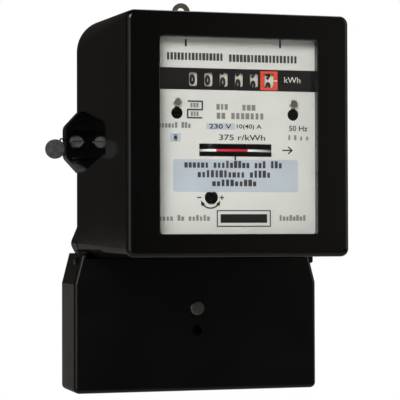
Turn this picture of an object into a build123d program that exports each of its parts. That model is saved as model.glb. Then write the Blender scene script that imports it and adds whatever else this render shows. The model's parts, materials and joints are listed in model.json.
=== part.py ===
"""Single-phase induction electricity meter, built piece by piece in millimetres.

The wall is the plane Y = 0, the front faces -Y, Z is up and X runs to the right as seen
from the front. The origin is the centre of the hanging hole, on the wall.
"""
import os
from math import atan2, cos, pi, sin, sqrt

from build123d import *

os.makedirs("parts", exist_ok=True)

# Case, distances from the wall
seam_depth = 14.0
cover_depth = 33.0
base_floor = 3.0

# Hood
front_width = 116.0
front_height = 122.3
hanging_drop = 14.15
side_flare = 4.6
top_flare = 6.4
bottom_flare = 1.2
front_corner = 4.0
rear_top_corner = 18.0
rear_bottom_corner = 8.0
front_edge_radius = 2.5
hood_wall = 2.5
front_wall = 4.5

# Window, glass and its frame
window_width = 82.4
window_height = 98.1
window_drop = 12.65
window_corner = 1.5
window_bevel = 0.5
glass_lap = 4.0
glass_thickness = 2.0
window_seal_thickness = 0.6
retainer_thickness = 0.8
retainer_border = 3.0
retainer_side_lap = 2.0
retainer_end_lap = 1.0
seal_setback = 0.5
fit_gap = 0.1

# Side fastening
ear_height = 75.1
ear_root_half = 16.3
ear_tip_half = 8.3
ear_reach = 70.0
ear_corner = 4.0
ear_thickness = 7.0
base_ear_thickness = 2.5
ear_boss_radius = 3.4
ear_boss_length = 5.5
ear_screw_x = 64.2
ear_screw_radius = 1.9
ear_head_radius = 3.85
ear_head_height = 2.6
rib_inner = 6.0
rib_outer = 8.6
rib_reach = 6.0
rib_setback = 1.5
pocket_depth = 72.0
pocket_slope_start = 28.0
pocket_slope_end = 67.0
pocket_front_half = 8.9
pocket_wall = 2.2
screw_clearance = 0.05
press_clearance = 0.02
slot_width = 1.0
slot_depth = 1.1
slot_overrun = 1.0
ear_head_chamfer = 0.9
ear_screw_tip = 7.0

# Lead seal and its wire
seal_radius = 5.2
seal_thickness = 3.6
seal_round = 0.8
seal_x = 76.75
seal_depth = 24.5
seal_drop = 4.0
seal_hole_radius = 0.45
seal_hole_side = 2.8
wire_radius = 0.4
wire_rise = 0.75
wire_bend = 0.9
wire_start = 2.0
wire_past_ear = 1.0
wire_drop_start = 2.0
wire_seal_entry = 0.5

# Base
back_half_width = 57.6
back_top_drop = 5.0
rim_wall = 9.5
shoulder_top = 116.0
shoulder_z = 130.0
shoulder_half = 63.5
shoulder_round = 5.0
tail_half = 60.8
tail_top = 135.0
tail_bottom = 205.0
tail_wall = 2.4
tail_corner = 2.0
tail_ledge = 2.0
floor_inset = 1.0
post_radius = 5.0
gasket_inset = 7.1
gasket_thickness = 2.0
gasket_width = 2.0

# Hanging lug and lower fixing holes
lug_radius = 5.0
lug_thickness = 1.5
lug_length = 42.0
lug_hole_radius = 2.3
lug_rivet_radius = 1.6
lug_rivet_head = 2.8
lug_rivet_head_height = 1.0
lug_rivet_rises = (6.0, 13.0)
rivet_recess = 0.1
rivet_round = 0.6
fixing_spacing = 105.0
fixing_drop = 160.0
fixing_radius = 2.75

# Terminal cover
cover_top_half = 63.9
cover_half = 68.1
cover_side_top = 135.1
cover_top = 138.0
taper_end = 151.5
cover_bottom = 209.8
cover_wall = 2.2
cover_corner = 3.0
cover_edge_radius = 2.0
bead_inner = 61.8
bead_outer = 67.2
bead_top = 137.0
bead_bottom = 141.0
bead_depth = 6.0
bead_round = 1.2
cable_notch_radius = 6.0
cover_screw_drop = 165.0
cover_screw_radius = 2.0
cover_head_radius = 3.8
cover_head_height = 2.0
cover_head_proud = 0.7
cover_recess = 4.6
cover_screw_length = 19.0
cover_boss_wall = 1.4
cover_boss_height = 2.0
cover_head_chamfer = 0.6
cover_screw_point = 1.0
cover_mouth_height = 20.0
cover_seam_gap = 0.6
eyelet_drop = 177.1
eyelet_radius = 2.3
eyelet_bore = 1.1
eyelet_flange = 2.9
eyelet_flange_height = 0.5
eyelet_chamfer = 0.3

# Terminal block
block_half = 46.0
block_front = 26.0
block_head = 1.5
block_foot = 4.0
block_edge_radius = 1.0
terminal_pitch = 21.0
terminal_width = 11.0
terminal_rear = 9.0
terminal_front = 20.0
terminal_head = 14.0
terminal_foot = 7.0
terminal_gap = 0.15
wire_bore_radius = 3.25
wire_bore_length = 26.0
wire_entry_radius = 3.6
terminal_screw_radius = 2.4
terminal_head_radius = 3.9
terminal_head_height = 3.0
terminal_well_radius = 4.3
terminal_seat = 21.7
terminal_tip = 18.5
terminal_screw_drops = (163.0, 176.0)
link_width = 6.0
link_thickness = 1.0
link_length = 13.4
link_screw_radius = 1.2
link_head_radius = 2.4
link_head_height = 1.4
link_screw_length = 6.0
link_tap_spare = 1.0
link_well_gap = 0.8
link_corner = 1.0

# Dial
dial_gap = 0.5
dial_thickness = 0.8
dial_width = 89.0
dial_height = 104.0
number_height = 47.3
number_width = 4.4
number_opening = 7.2
red_number_width = 5.0
slot_opening_width = 38.2
slot_opening_height = 6.4
dial_screw_x = 30.6
dial_screw_drop = 59.0
keyhole_drop = 64.4
keyhole_radius = 3.0
dial_screw_radius = 1.1
dial_head_radius = 2.3
dial_head_height = 1.3
dial_screw_length = 7.0
dial_head_round = 0.5
dial_slot_width = 0.6
adjuster_x = -12.8
adjuster_drop = 106.6
adjuster_opening = 3.5

# Rotor
disc_height = 82.7
disc_radius = 43.0
disc_thickness = 1.2
disc_to_frame = 3.0
disc_to_dial = 0.5
spindle_chamfer = 0.5
bearing_step = 1.0
spindle_radius = 1.5
spindle_top = 31.5
spindle_bottom = 122.0
disc_hub_radius = 4.0
disc_hub_height = 5.0
worm_radius = 2.6
worm_length = 13.0
bearing_radius = 4.0
bearing_length = 8.5
bearing_cover = 2.5
running_clearance = 0.05

# Register
drum_radius = 10.0
drum_pitch = 8.0
drum_first_x = -22.3
drum_count = 6
drum_rim_width = 5.4
drum_side_width = 1.2
drum_cam_radius = 6.9
drum_to_dial = 0.6
drum_shaft_radius = 1.5
ring_teeth = 20
ring_module = 0.8
pinion_teeth = 8
pinion_width = 2.2
pinion_shaft_radius = 1.0
mesh_play = 0.15
tooth_addendum = 0.8
tooth_dedendum = 1.1
tooth_root_share = 0.30
tooth_tip_share = 0.12
worm_wheel_teeth = 50
worm_wheel_to_drums = 0.47
worm_wheel_width = 2.5
worm_clearance = 0.3
worm_wheel_drop = 54.0
arbor_radius = 1.2
arbor_teeth = 12
idler_big_teeth = 30
idler_small_teeth = 10
drum_gear_teeth = 30
train_module = 0.6
gear_width = 1.5
gear_gap = 0.9
idler_pin_radius = 1.0
idler_hub_wall = 1.0
idler_pin_step = 0.4
plate_thickness = 1.5
plate_left_x = -28.7
plate_right_x = 27.4
plate_setback = 1.5
plate_to_spindle = 5.0
plate_bottom = 61.5
post_length = 9.0
dial_post_radius = 2.4
post_web_width = 2.0
post_web_height = 4.0
register_top = 27.5
register_screw_radius = 1.0
register_screw_head = 1.9
register_screw_head_height = 1.4
register_screw_x = 7.0
register_screw_setback = 11.0

# Movement frame
frame_rear = 9.0
frame_plate = 3.5
frame_half = 38.0
frame_corner = 4.0
frame_window_width = 24.0
frame_window_height = 30.0
frame_low = 122.5
arm_half = 11.0
arm_thickness = 4.0
arm_setback = 5.0
lower_arm_setback = 14.0
tab_thickness = 3.0
tab_half = 5.0
tab_foot = 8.0
tab_above_screw = 6.5
frame_screw_radius = 2.0
frame_head_radius = 3.6
frame_head_height = 2.4
frame_screw_x = 32.0
frame_screw_drops = (38.0, 118.0)
frame_screw_length = 9.0
magnet_arm_thickness = 3.0
magnet_arm_half = 9.0
magnet_arm_lap = 2.0
pad_inset = 1.0
upper_pad_drop = 60.0
upper_pad_height = 24.0
lower_pad_width = 8.0
pad_spread = 14.0

# Electromagnets and brake magnet
core_stand = 9.5
core_stack = 16.0
pole_gap = 1.2
voltage_core_half = 26.0
voltage_core_top = 36.0
limb_half = 7.5
yoke_width = 7.0
coil_gap = 0.25
coil_overhang = 6.0
coil_half = 17.5
coil_corner = 5.0
coil_end_gap = 0.5
voltage_window_low = 73.5
voltage_window_high = 44.0
current_core_half = 21.0
current_core_low = 113.0
current_limb_inner = 12.5
current_limb_outer = 20.5
current_yoke = 9.0
current_coil_wall = 3.6
current_coil_low = 101.5
current_coil_high = 88.5
current_coil_corner = 3.0
magnet_lap = 19.0
magnet_edge_gap = 2.6
magnet_half_depth = 9.0
magnet_half_height = 14.25
magnet_gap = 3.2
magnet_back = 2.0

# Fine adjuster
adjuster_head_radius = 2.9
adjuster_head_length = 3.5
adjuster_setback = 4.0
adjuster_shank_radius = 1.6
adjuster_length = 18.0
adjuster_slot = 0.8

# Sizes that follow from the ones above
hood_front_top = -hanging_drop
hood_front_bottom = hood_front_top - front_height
hood_rear_top = hood_front_top + top_flare
hood_rear_bottom = hood_front_bottom - bottom_flare
hood_rear_half = front_width / 2 + side_flare
window_z = hood_front_top - window_drop - window_height / 2
frame_front = frame_rear + frame_plate
spindle_depth = frame_front + disc_to_frame + disc_radius
dial_rear = spindle_depth + disc_radius + disc_to_dial
dial_front = dial_rear + dial_thickness
glass_rear = dial_front + dial_gap + retainer_thickness
glass_front = glass_rear + glass_thickness + window_seal_thickness
front_depth = glass_front + front_wall
drum_depth = dial_rear - drum_to_dial - drum_radius
pocket_floor_x = front_width / 2
disc_bottom = -disc_height - disc_thickness / 2
disc_top = -disc_height + disc_thickness / 2
core_rear = frame_front + core_stand
core_front = core_rear + core_stack
arm_front = dial_rear - arm_setback
lower_arm_front = dial_rear - lower_arm_setback
plate_front = dial_rear - plate_setback
plate_rear = spindle_depth + plate_to_spindle
register_screw_depth = arm_front - register_screw_setback
adjuster_head_depth = dial_rear - adjuster_setback
adjuster_tail = adjuster_head_depth - adjuster_length
magnet_arm_x = disc_radius + magnet_edge_gap
magnet_inner_x = disc_radius - magnet_lap
lug_rivet_spots = [(0, -lug_length + rise) for rise in lug_rivet_rises]
cable_gap_half = 1.5 * terminal_pitch + cable_notch_radius
terminal_top = terminal_screw_drops[0] - terminal_head
terminal_bottom = terminal_screw_drops[-1] + terminal_foot
link_low = terminal_screw_drops[0] - terminal_well_radius - link_well_gap
link_high = link_low - link_length
link_tap_drop = link_high + link_width / 2
block_top = link_high - block_head
block_bottom = terminal_bottom + block_foot
wire_depth = (terminal_rear + terminal_front) / 2
gasket_inner = gasket_inset + gasket_width
plate_left_outer = plate_left_x - plate_thickness
plate_right_outer = plate_right_x + plate_thickness
register_screw_spots = [(x, -register_screw_depth) for x in (-register_screw_x, register_screw_x)]
terminal_xs = [(i - 1.5) * terminal_pitch for i in range(4)]
drum_xs = [drum_first_x + drum_pitch * i for i in range(drum_count)]


def front_plane(depth):
    """Plane parallel to the wall at a depth in front of it, seen from the front."""
    return Plane.XZ.offset(depth)


def across_plane(x, y, z):
    """Plane square to X through a point, its local axes being Y and Z."""
    return Plane(origin=(x, y, z), x_dir=(0, 1, 0), z_dir=(1, 0, 0))


def level_plane(x, y, z):
    """Plane square to Z through a point."""
    return Plane(origin=(x, y, z), x_dir=(1, 0, 0), z_dir=(0, 0, 1))


def round_section(depth, half_width, top, bottom, top_radius, bottom_radius):
    """A rounded rectangle with one radius above and another below."""
    with BuildSketch(front_plane(depth)) as section:
        with Locations((0, (top + bottom) / 2)):
            Rectangle(2 * half_width, top - bottom)
        fillet(section.vertices().group_by(Axis.Y)[-1], max(top_radius, 1.0))
        fillet(section.vertices().group_by(Axis.Y)[0], max(bottom_radius, 1.0))
    return section.sketch


def hood_section(depth, inset):
    """The hood's drafted outline at a depth, moved in by an inset."""
    share = (front_depth - depth) / (front_depth - seam_depth)
    return round_section(
        depth,
        front_width / 2 + side_flare * share - inset,
        hood_front_top + top_flare * share - inset,
        hood_front_bottom - bottom_flare * share + inset,
        front_corner + (rear_top_corner - front_corner) * share - inset * share,
        front_corner + (rear_bottom_corner - front_corner) * share - inset * share,
    )


def ear_sketch(depth, inner_x, grow):
    """Both fastening ears, as trapezoids from an inner line to their tips."""
    with BuildSketch(front_plane(depth)) as ears:
        for side in (-1, 1):
            with BuildLine():
                Polyline(
                    (side * inner_x, -ear_height + ear_root_half + grow),
                    (side * hood_rear_half, -ear_height + ear_root_half + grow),
                    (side * (ear_reach + grow), -ear_height + ear_tip_half + grow),
                    (side * (ear_reach + grow), -ear_height - ear_tip_half - grow),
                    (side * hood_rear_half, -ear_height - ear_root_half - grow),
                    (side * inner_x, -ear_height - ear_root_half - grow),
                    close=True,
                )
            make_face()
        fillet(ears.vertices().group_by(Axis.X)[0], ear_corner)
        fillet(ears.vertices().group_by(Axis.X)[-1], ear_corner)
    return ears.sketch


def pocket_sketch(x, grow):
    """Side view of the pocket beside an ear, running forward from the seam."""
    with BuildSketch(Plane.YZ.offset(x)) as pocket:
        with BuildLine():
            Polyline(
                (-seam_depth, -ear_height + ear_root_half + grow),
                (-pocket_slope_start, -ear_height + ear_root_half + grow),
                (-pocket_slope_end, -ear_height + pocket_front_half + grow),
                (-pocket_depth - grow, -ear_height + pocket_front_half + grow),
                (-pocket_depth - grow, -ear_height - pocket_front_half - grow),
                (-pocket_slope_end, -ear_height - pocket_front_half - grow),
                (-pocket_slope_start, -ear_height - ear_root_half - grow),
                (-seam_depth, -ear_height - ear_root_half - grow),
                close=True,
            )
        make_face()
    return pocket.sketch


def gear_sketch(plane, teeth, module, toward, bore):
    """Spur gear outline with one tooth centred on the direction given in radians."""
    pitch_radius = teeth * module / 2
    root_radius = pitch_radius - tooth_dedendum * module
    tip_radius = pitch_radius + tooth_addendum * module
    pitch_angle = 2 * pi / teeth
    root_half = tooth_root_share * pitch_angle
    tip_half = tooth_tip_share * pitch_angle
    corners = []
    for i in range(teeth):
        middle = toward + i * pitch_angle
        for radius, angle in (
            (root_radius, middle - root_half),
            (tip_radius, middle - tip_half),
            (tip_radius, middle + tip_half),
            (root_radius, middle + root_half),
        ):
            corners.append((radius * cos(angle), radius * sin(angle)))
    with BuildSketch(plane) as gear:
        with BuildLine():
            Polyline(*corners, close=True)
        make_face()
        Circle(bore, mode=Mode.SUBTRACT)
    return gear.sketch


# Base: a shallow drafted tray with a tail that carries the terminal block
with BuildPart() as base:
    loft(
        sections=[
            round_section(
                0,
                back_half_width,
                hood_rear_top - back_top_drop,
                hood_rear_bottom,
                rear_top_corner - back_top_drop,
                rear_bottom_corner,
            ),
            hood_section(seam_depth, 0),
        ]
    )
    with BuildSketch(front_plane(0)) as tail_outline:
        with BuildLine():
            Polyline(
                (back_half_width, -shoulder_top),
                (shoulder_half, -shoulder_z),
                (tail_half, -tail_top),
                (tail_half, -tail_bottom),
                (-tail_half, -tail_bottom),
                (-tail_half, -tail_top),
                (-shoulder_half, -shoulder_z),
                (-back_half_width, -shoulder_top),
                close=True,
            )
        make_face()
        fillet(tail_outline.vertices().group_by(Axis.X)[0], shoulder_round)
        fillet(tail_outline.vertices().group_by(Axis.X)[-1], shoulder_round)
        fillet(tail_outline.vertices().group_by(Axis.Y)[0], tail_corner)
    extrude(amount=seam_depth)
    extrude(ear_sketch(seam_depth, back_half_width - rim_wall, 0), amount=-base_ear_thickness)
    with BuildSketch(front_plane(seam_depth - base_ear_thickness)):
        with Locations((-ear_screw_x, -ear_height), (ear_screw_x, -ear_height)):
            Circle(ear_boss_radius)
    extrude(amount=-ear_boss_length)
    loft(
        sections=[
            round_section(
                base_floor,
                back_half_width - rim_wall + floor_inset,
                hood_rear_top - back_top_drop - rim_wall + floor_inset,
                hood_rear_bottom + rim_wall,
                rear_top_corner - back_top_drop - rim_wall + floor_inset,
                rear_bottom_corner - rim_wall,
            ),
            hood_section(seam_depth, rim_wall),
        ],
        mode=Mode.SUBTRACT,
    )
    tail_height = tail_bottom - tail_top - 2 * tail_wall - tail_ledge
    with BuildSketch(front_plane(base_floor)):
        with Locations((0, -tail_bottom + tail_wall + tail_height / 2)):
            Rectangle(2 * (tail_half - tail_wall), tail_height)
    extrude(amount=seam_depth, mode=Mode.SUBTRACT)
    cable_gap = seam_depth - wire_depth + cable_notch_radius
    with BuildSketch(Plane.XY.offset(-tail_bottom)):
        with Locations((0, -seam_depth + cable_gap / 2)):
            Rectangle(2 * cable_gap_half, cable_gap)
    extrude(amount=tail_wall, mode=Mode.SUBTRACT)
    with BuildSketch(front_plane(base_floor)):
        for drop in frame_screw_drops:
            with Locations((-frame_screw_x, -drop), (frame_screw_x, -drop)):
                Circle(post_radius)
    extrude(amount=frame_rear - base_floor)
    with BuildSketch(front_plane(0)):
        for drop in frame_screw_drops:
            with Locations((-frame_screw_x, -drop), (frame_screw_x, -drop)):
                Circle(frame_screw_radius + screw_clearance)
    extrude(amount=frame_rear, mode=Mode.SUBTRACT)
    with BuildSketch(front_plane(0)):
        with Locations((-ear_screw_x, -ear_height), (ear_screw_x, -ear_height)):
            Circle(ear_screw_radius + screw_clearance)
        with Locations((-fixing_spacing / 2, -fixing_drop), (fixing_spacing / 2, -fixing_drop)):
            Circle(fixing_radius)
    extrude(amount=seam_depth, mode=Mode.SUBTRACT)
    with BuildSketch(front_plane(0)) as lug_recess:
        with Locations((0, -lug_length / 2)):
            Rectangle(2 * (lug_radius + fit_gap), lug_length + 2 * fit_gap)
    extrude(amount=lug_thickness, mode=Mode.SUBTRACT)
    with BuildSketch(front_plane(0)):
        with Locations(*lug_rivet_spots):
            Circle(lug_rivet_radius + screw_clearance)
    extrude(amount=base_floor, mode=Mode.SUBTRACT)
base.part.label = "base"
export_step(base.part, "parts/base.step")

# Hanging lug: a flat strip with a round head, let into the back of the base
with BuildPart() as hanging_lug:
    with BuildSketch(front_plane(0)):
        Circle(lug_radius)
        with Locations((0, -lug_length / 2)):
            Rectangle(2 * lug_radius, lug_length)
        Circle(lug_hole_radius, mode=Mode.SUBTRACT)
        with Locations(*lug_rivet_spots):
            Circle(lug_rivet_radius + screw_clearance, mode=Mode.SUBTRACT)
    extrude(amount=lug_thickness)
hanging_lug.part.label = "hanging_lug"
export_step(hanging_lug.part, "parts/hanging_lug.step")

# Two rivets that hold the lug to the base
with BuildPart() as lug_rivets:
    with BuildSketch(front_plane(rivet_recess)):
        with Locations(*lug_rivet_spots):
            Circle(lug_rivet_radius)
    extrude(amount=base_floor - rivet_recess)
    with BuildSketch(front_plane(base_floor)):
        with Locations(*lug_rivet_spots):
            Circle(lug_rivet_head)
    extrude(amount=lug_rivet_head_height)
    fillet(lug_rivets.edges().filter_by(GeomType.CIRCLE).group_by(Axis.Y)[0], rivet_round)
lug_rivets.part.label = "lug_rivets"
export_step(lug_rivets.part, "parts/lug_rivets.step")

# Core of the hood: its inside space, less the walls round the two side pockets
with BuildPart() as hood_core:
    loft(
        sections=[
            hood_section(seam_depth, hood_wall),
            hood_section(front_depth - front_wall, hood_wall),
        ]
    )
    pocket_block = pocket_floor_x - pocket_wall
    extrude(pocket_sketch(pocket_block, pocket_wall), amount=hood_rear_half, mode=Mode.SUBTRACT)
    extrude(pocket_sketch(-pocket_block, pocket_wall), amount=-hood_rear_half, mode=Mode.SUBTRACT)

# Hood: drafted phenolic shell with the window, side pockets and fastening ears
with BuildPart() as main_cover:
    loft(sections=[hood_section(seam_depth, 0), hood_section(front_depth, 0)])
    fillet(main_cover.faces().sort_by(Axis.Y)[0].edges(), front_edge_radius)
    add(hood_core.part, mode=Mode.SUBTRACT)
    flange_depth = seam_depth + gasket_thickness
    extrude(hood_section(flange_depth, hood_wall / 2), amount=hood_wall)
    extrude(hood_section(flange_depth, gasket_inner), amount=hood_wall, mode=Mode.SUBTRACT)
    extrude(pocket_sketch(pocket_floor_x, 0), amount=hood_rear_half, mode=Mode.SUBTRACT)
    extrude(pocket_sketch(-pocket_floor_x, 0), amount=-hood_rear_half, mode=Mode.SUBTRACT)
    extrude(ear_sketch(seam_depth, pocket_floor_x - pocket_wall / 2, 0), amount=ear_thickness)
    with BuildSketch(front_plane(seam_depth + ear_thickness)):
        rib_length = ear_reach - rib_setback - pocket_floor_x + pocket_wall / 2
        rib_middle = ear_reach - rib_setback - rib_length / 2
        rib_height = (rib_inner + rib_outer) / 2
        for side in (-1, 1):
            with Locations(
                (side * rib_middle, -ear_height - rib_height),
                (side * rib_middle, -ear_height + rib_height),
            ):
                Rectangle(rib_length, rib_outer - rib_inner)
    extrude(amount=rib_reach)
    with BuildSketch(front_plane(seam_depth)):
        with Locations((-ear_screw_x, -ear_height), (ear_screw_x, -ear_height)):
            Circle(ear_screw_radius + screw_clearance)
    extrude(amount=ear_thickness, mode=Mode.SUBTRACT)
    with BuildSketch(front_plane(glass_front - window_seal_thickness)) as window_outline:
        with Locations((0, window_z)):
            RectangleRounded(window_width, window_height, window_corner)
    extrude(amount=window_seal_thickness + front_wall, mode=Mode.SUBTRACT)
    window_edges = main_cover.faces().sort_by(Axis.Y)[0].inner_wires()[0].edges()
    chamfer(window_edges, window_bevel)
main_cover.part.label = "main_cover"
export_step(main_cover.part, "parts/main_cover.step")

# Window seal: a thin flat ring between the glass and the hood
glass_width = window_width + 2 * glass_lap
glass_height = window_height + 2 * glass_lap
seal_width = window_width + 2 * seal_setback
seal_height = window_height + 2 * seal_setback
with BuildPart() as window_seal:
    with BuildSketch(front_plane(glass_front - window_seal_thickness)):
        with Locations((0, window_z)):
            RectangleRounded(glass_width, glass_height, window_corner)
            RectangleRounded(seal_width, seal_height, window_corner, mode=Mode.SUBTRACT)
    extrude(amount=window_seal_thickness)
window_seal.part.label = "window_seal"
export_step(window_seal.part, "parts/window_seal.step")

# Window glass
with BuildPart() as window_glass:
    with BuildSketch(front_plane(glass_rear)):
        with Locations((0, window_z)):
            RectangleRounded(glass_width, glass_height, window_corner)
    extrude(amount=glass_thickness)
window_glass.part.label = "window_glass"
export_step(window_glass.part, "parts/window_glass.step")

# Sheet frame that holds the glass from behind
with BuildPart() as glass_retainer:
    with BuildSketch(front_plane(glass_rear - retainer_thickness)):
        with Locations((0, window_z)):
            RectangleRounded(
                glass_width + 2 * retainer_side_lap, glass_height + 2 * retainer_end_lap, window_corner
            )
            RectangleRounded(
                glass_width - 2 * retainer_border,
                glass_height - 2 * retainer_border,
                window_corner,
                mode=Mode.SUBTRACT,
            )
    extrude(amount=retainer_thickness)
glass_retainer.part.label = "glass_retainer"
export_step(glass_retainer.part, "parts/glass_retainer.step")

# Cover gasket: a flat rubber ring on the rim of the base, under the hood's flange
with BuildPart() as cover_gasket:
    extrude(hood_section(seam_depth, gasket_inset), amount=gasket_thickness)
    extrude(hood_section(seam_depth, gasket_inner), amount=gasket_thickness, mode=Mode.SUBTRACT)
cover_gasket.part.label = "cover_gasket"
export_step(cover_gasket.part, "parts/cover_gasket.step")

# Two slotted screws that hold the hood's ears to the base
ear_face = seam_depth + ear_thickness
with BuildPart() as cover_screws:
    for side in (-1, 1):
        with BuildSketch(level_plane(side * ear_screw_x, -ear_face, -ear_height)):
            with BuildLine():
                Polyline(
                    (0, -ear_head_height),
                    (ear_head_radius - ear_head_chamfer, -ear_head_height),
                    (ear_head_radius, -ear_head_height + ear_head_chamfer),
                    (ear_head_radius, 0),
                    (ear_screw_radius, 0),
                    (ear_screw_radius, ear_face - ear_screw_tip),
                    (0, ear_face - ear_screw_tip),
                    close=True,
                )
            make_face()
        revolve(axis=Axis((side * ear_screw_x, 0, -ear_height), (0, 1, 0)))
    with BuildSketch(front_plane(ear_face + ear_head_height - slot_depth)):
        with Locations((-ear_screw_x, -ear_height), (ear_screw_x, -ear_height)):
            Rectangle(2 * ear_head_radius + slot_overrun, slot_width, rotation=3)
    extrude(amount=slot_depth, mode=Mode.SUBTRACT)
    seal_wire_depth = ear_face + wire_rise
    with BuildSketch(across_plane(-ear_screw_x - ear_head_radius, -seal_wire_depth, -ear_height)):
        Circle(seal_hole_radius)
    extrude(amount=2 * ear_head_radius, mode=Mode.SUBTRACT)
cover_screws.part.label = "cover_screws"
export_step(cover_screws.part, "parts/cover_screws.step")

# Lead seal, pressed on the sealing wire beside the left ear
with BuildPart() as lead_seal:
    with BuildSketch(front_plane(seal_depth - seal_thickness / 2)):
        with Locations((-seal_x, -ear_height - seal_drop)):
            Circle(seal_radius)
    extrude(amount=seal_thickness)
    fillet(lead_seal.edges().filter_by(GeomType.CIRCLE), seal_round)
    with BuildSketch(level_plane(-seal_x + seal_hole_side, -seal_depth, -ear_height - seal_drop)):
        Circle(seal_hole_radius)
    extrude(amount=seal_radius, mode=Mode.SUBTRACT)
lead_seal.part.label = "lead_seal"
export_step(lead_seal.part, "parts/lead_seal.step")

# Sealing wire: from the screw's cross hole past the ear's edge and down into the seal
with BuildPart() as sealing_wire:
    with BuildLine() as wire_path:
        FilletPolyline(
            (-ear_screw_x - ear_head_radius + wire_start, -seal_wire_depth, -ear_height),
            (-ear_reach + wire_past_ear, -seal_wire_depth, -ear_height),
            (-seal_x + seal_hole_side, -seal_depth, -ear_height + wire_drop_start),
            (-seal_x + seal_hole_side, -seal_depth, -ear_height - seal_drop + wire_seal_entry),
            radius=wire_bend,
        )
    with BuildSketch(Plane(origin=wire_path.line @ 0, z_dir=wire_path.line % 0)):
        Circle(wire_radius)
    sweep()
sealing_wire.part.label = "sealing_wire"
export_step(sealing_wire.part, "parts/sealing_wire.step")

# Terminal cover: an open box whose sides lean in under the hood
with BuildPart() as terminal_cover:
    with BuildSketch(front_plane(0)) as cover_outline:
        with BuildLine():
            Polyline(
                (cover_top_half, -cover_side_top),
                (cover_half, -taper_end),
                (cover_half, -cover_bottom),
                (-cover_half, -cover_bottom),
                (-cover_half, -taper_end),
                (-cover_top_half, -cover_side_top),
                close=True,
            )
        make_face()
        fillet(cover_outline.vertices().group_by(Axis.Y)[0], cover_corner)
    extrude(amount=cover_depth)
    fillet(terminal_cover.faces().sort_by(Axis.Y)[0].edges(), cover_edge_radius)
    with BuildSketch(front_plane(cover_depth - bead_depth)):
        bead_middle = (bead_inner + bead_outer) / 2
        bead_z = -(bead_top + bead_bottom) / 2
        with Locations((-bead_middle, bead_z), (bead_middle, bead_z)):
            RectangleRounded(bead_outer - bead_inner, bead_bottom - bead_top, bead_round)
    extrude(amount=bead_depth - cover_edge_radius)
    with BuildSketch(front_plane(0)) as cover_inside:
        with BuildLine():
            Polyline(
                (cover_top_half - cover_wall, -cover_top - cover_wall),
                (cover_half - cover_wall, -taper_end),
                (cover_half - cover_wall, -cover_bottom + cover_wall),
                (-cover_half + cover_wall, -cover_bottom + cover_wall),
                (-cover_half + cover_wall, -taper_end),
                (-cover_top_half + cover_wall, -cover_top - cover_wall),
                close=True,
            )
        make_face()
    extrude(amount=cover_depth - cover_wall, mode=Mode.SUBTRACT)
    cover_mouth = 2 * (cover_top_half - cover_wall)
    with BuildSketch(front_plane(0)):
        with Locations((0, -cover_top + cover_mouth_height / 2)):
            Rectangle(cover_mouth, cover_mouth_height)
    extrude(amount=cover_depth, mode=Mode.SUBTRACT)
    with BuildSketch(front_plane(0)):
        with Locations((0, -cover_top)):
            Rectangle(cover_mouth, 3 * cover_wall)
    extrude(amount=seam_depth + cover_seam_gap, mode=Mode.SUBTRACT)
    with BuildSketch(Plane.XY.offset(-cover_bottom)):
        for x in terminal_xs:
            with Locations((x, -wire_depth)):
                Circle(cable_notch_radius)
            with Locations((x, -wire_depth / 2)):
                Rectangle(2 * cable_notch_radius, wire_depth)
    extrude(amount=cover_wall, mode=Mode.SUBTRACT)
    with BuildSketch(front_plane(cover_depth - cover_wall)):
        with Locations((0, -cover_screw_drop)):
            Circle(cover_recess + cover_boss_wall)
    extrude(amount=-cover_boss_height)
    with BuildSketch(front_plane(cover_depth - cover_head_height + cover_head_proud)):
        with Locations((0, -cover_screw_drop)):
            Circle(cover_recess)
    extrude(amount=cover_head_height, mode=Mode.SUBTRACT)
    with BuildSketch(front_plane(cover_depth - cover_wall - cover_boss_height)):
        with Locations((0, -cover_screw_drop)):
            Circle(cover_screw_radius + screw_clearance)
        with Locations((0, -eyelet_drop)):
            Circle(eyelet_radius + screw_clearance)
    extrude(amount=cover_wall + cover_boss_height, mode=Mode.SUBTRACT)
terminal_cover.part.label = "terminal_cover"
export_step(terminal_cover.part, "parts/terminal_cover.step")

# Slotted screw of the terminal cover
head_seat = cover_depth - cover_head_height + cover_head_proud
with BuildPart() as terminal_cover_screw:
    with BuildSketch(level_plane(0, -head_seat, -cover_screw_drop)):
        with BuildLine():
            Polyline(
                (0, -cover_head_height),
                (cover_head_radius - cover_head_chamfer, -cover_head_height),
                (cover_head_radius, -cover_head_height + cover_head_chamfer),
                (cover_head_radius, 0),
                (cover_screw_radius, 0),
                (cover_screw_radius, cover_screw_length - cover_screw_point),
                (cover_screw_radius - cover_screw_point, cover_screw_length),
                (0, cover_screw_length),
                close=True,
            )
        make_face()
    revolve(axis=Axis((0, 0, -cover_screw_drop), (0, 1, 0)))
    with BuildSketch(front_plane(head_seat + cover_head_height - slot_depth)):
        with Locations((0, -cover_screw_drop)):
            Rectangle(2 * cover_head_radius + slot_overrun, slot_width, rotation=67)
    extrude(amount=slot_depth, mode=Mode.SUBTRACT)
terminal_cover_screw.part.label = "terminal_cover_screw"
export_step(terminal_cover_screw.part, "parts/terminal_cover_screw.step")

# Turned eyelet below the screw, for a sealing wire
with BuildPart() as seal_eyelet:
    with BuildSketch(level_plane(0, -cover_depth, -eyelet_drop)):
        with BuildLine():
            Polyline(
                (eyelet_bore, -eyelet_flange_height),
                (eyelet_flange - eyelet_chamfer, -eyelet_flange_height),
                (eyelet_flange, 0),
                (eyelet_radius, 0),
                (eyelet_radius, cover_wall),
                (eyelet_bore, cover_wall),
                close=True,
            )
        make_face()
    revolve(axis=Axis((0, 0, -eyelet_drop), (0, 1, 0)))
seal_eyelet.part.label = "seal_eyelet"
export_step(seal_eyelet.part, "parts/seal_eyelet.step")

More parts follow.
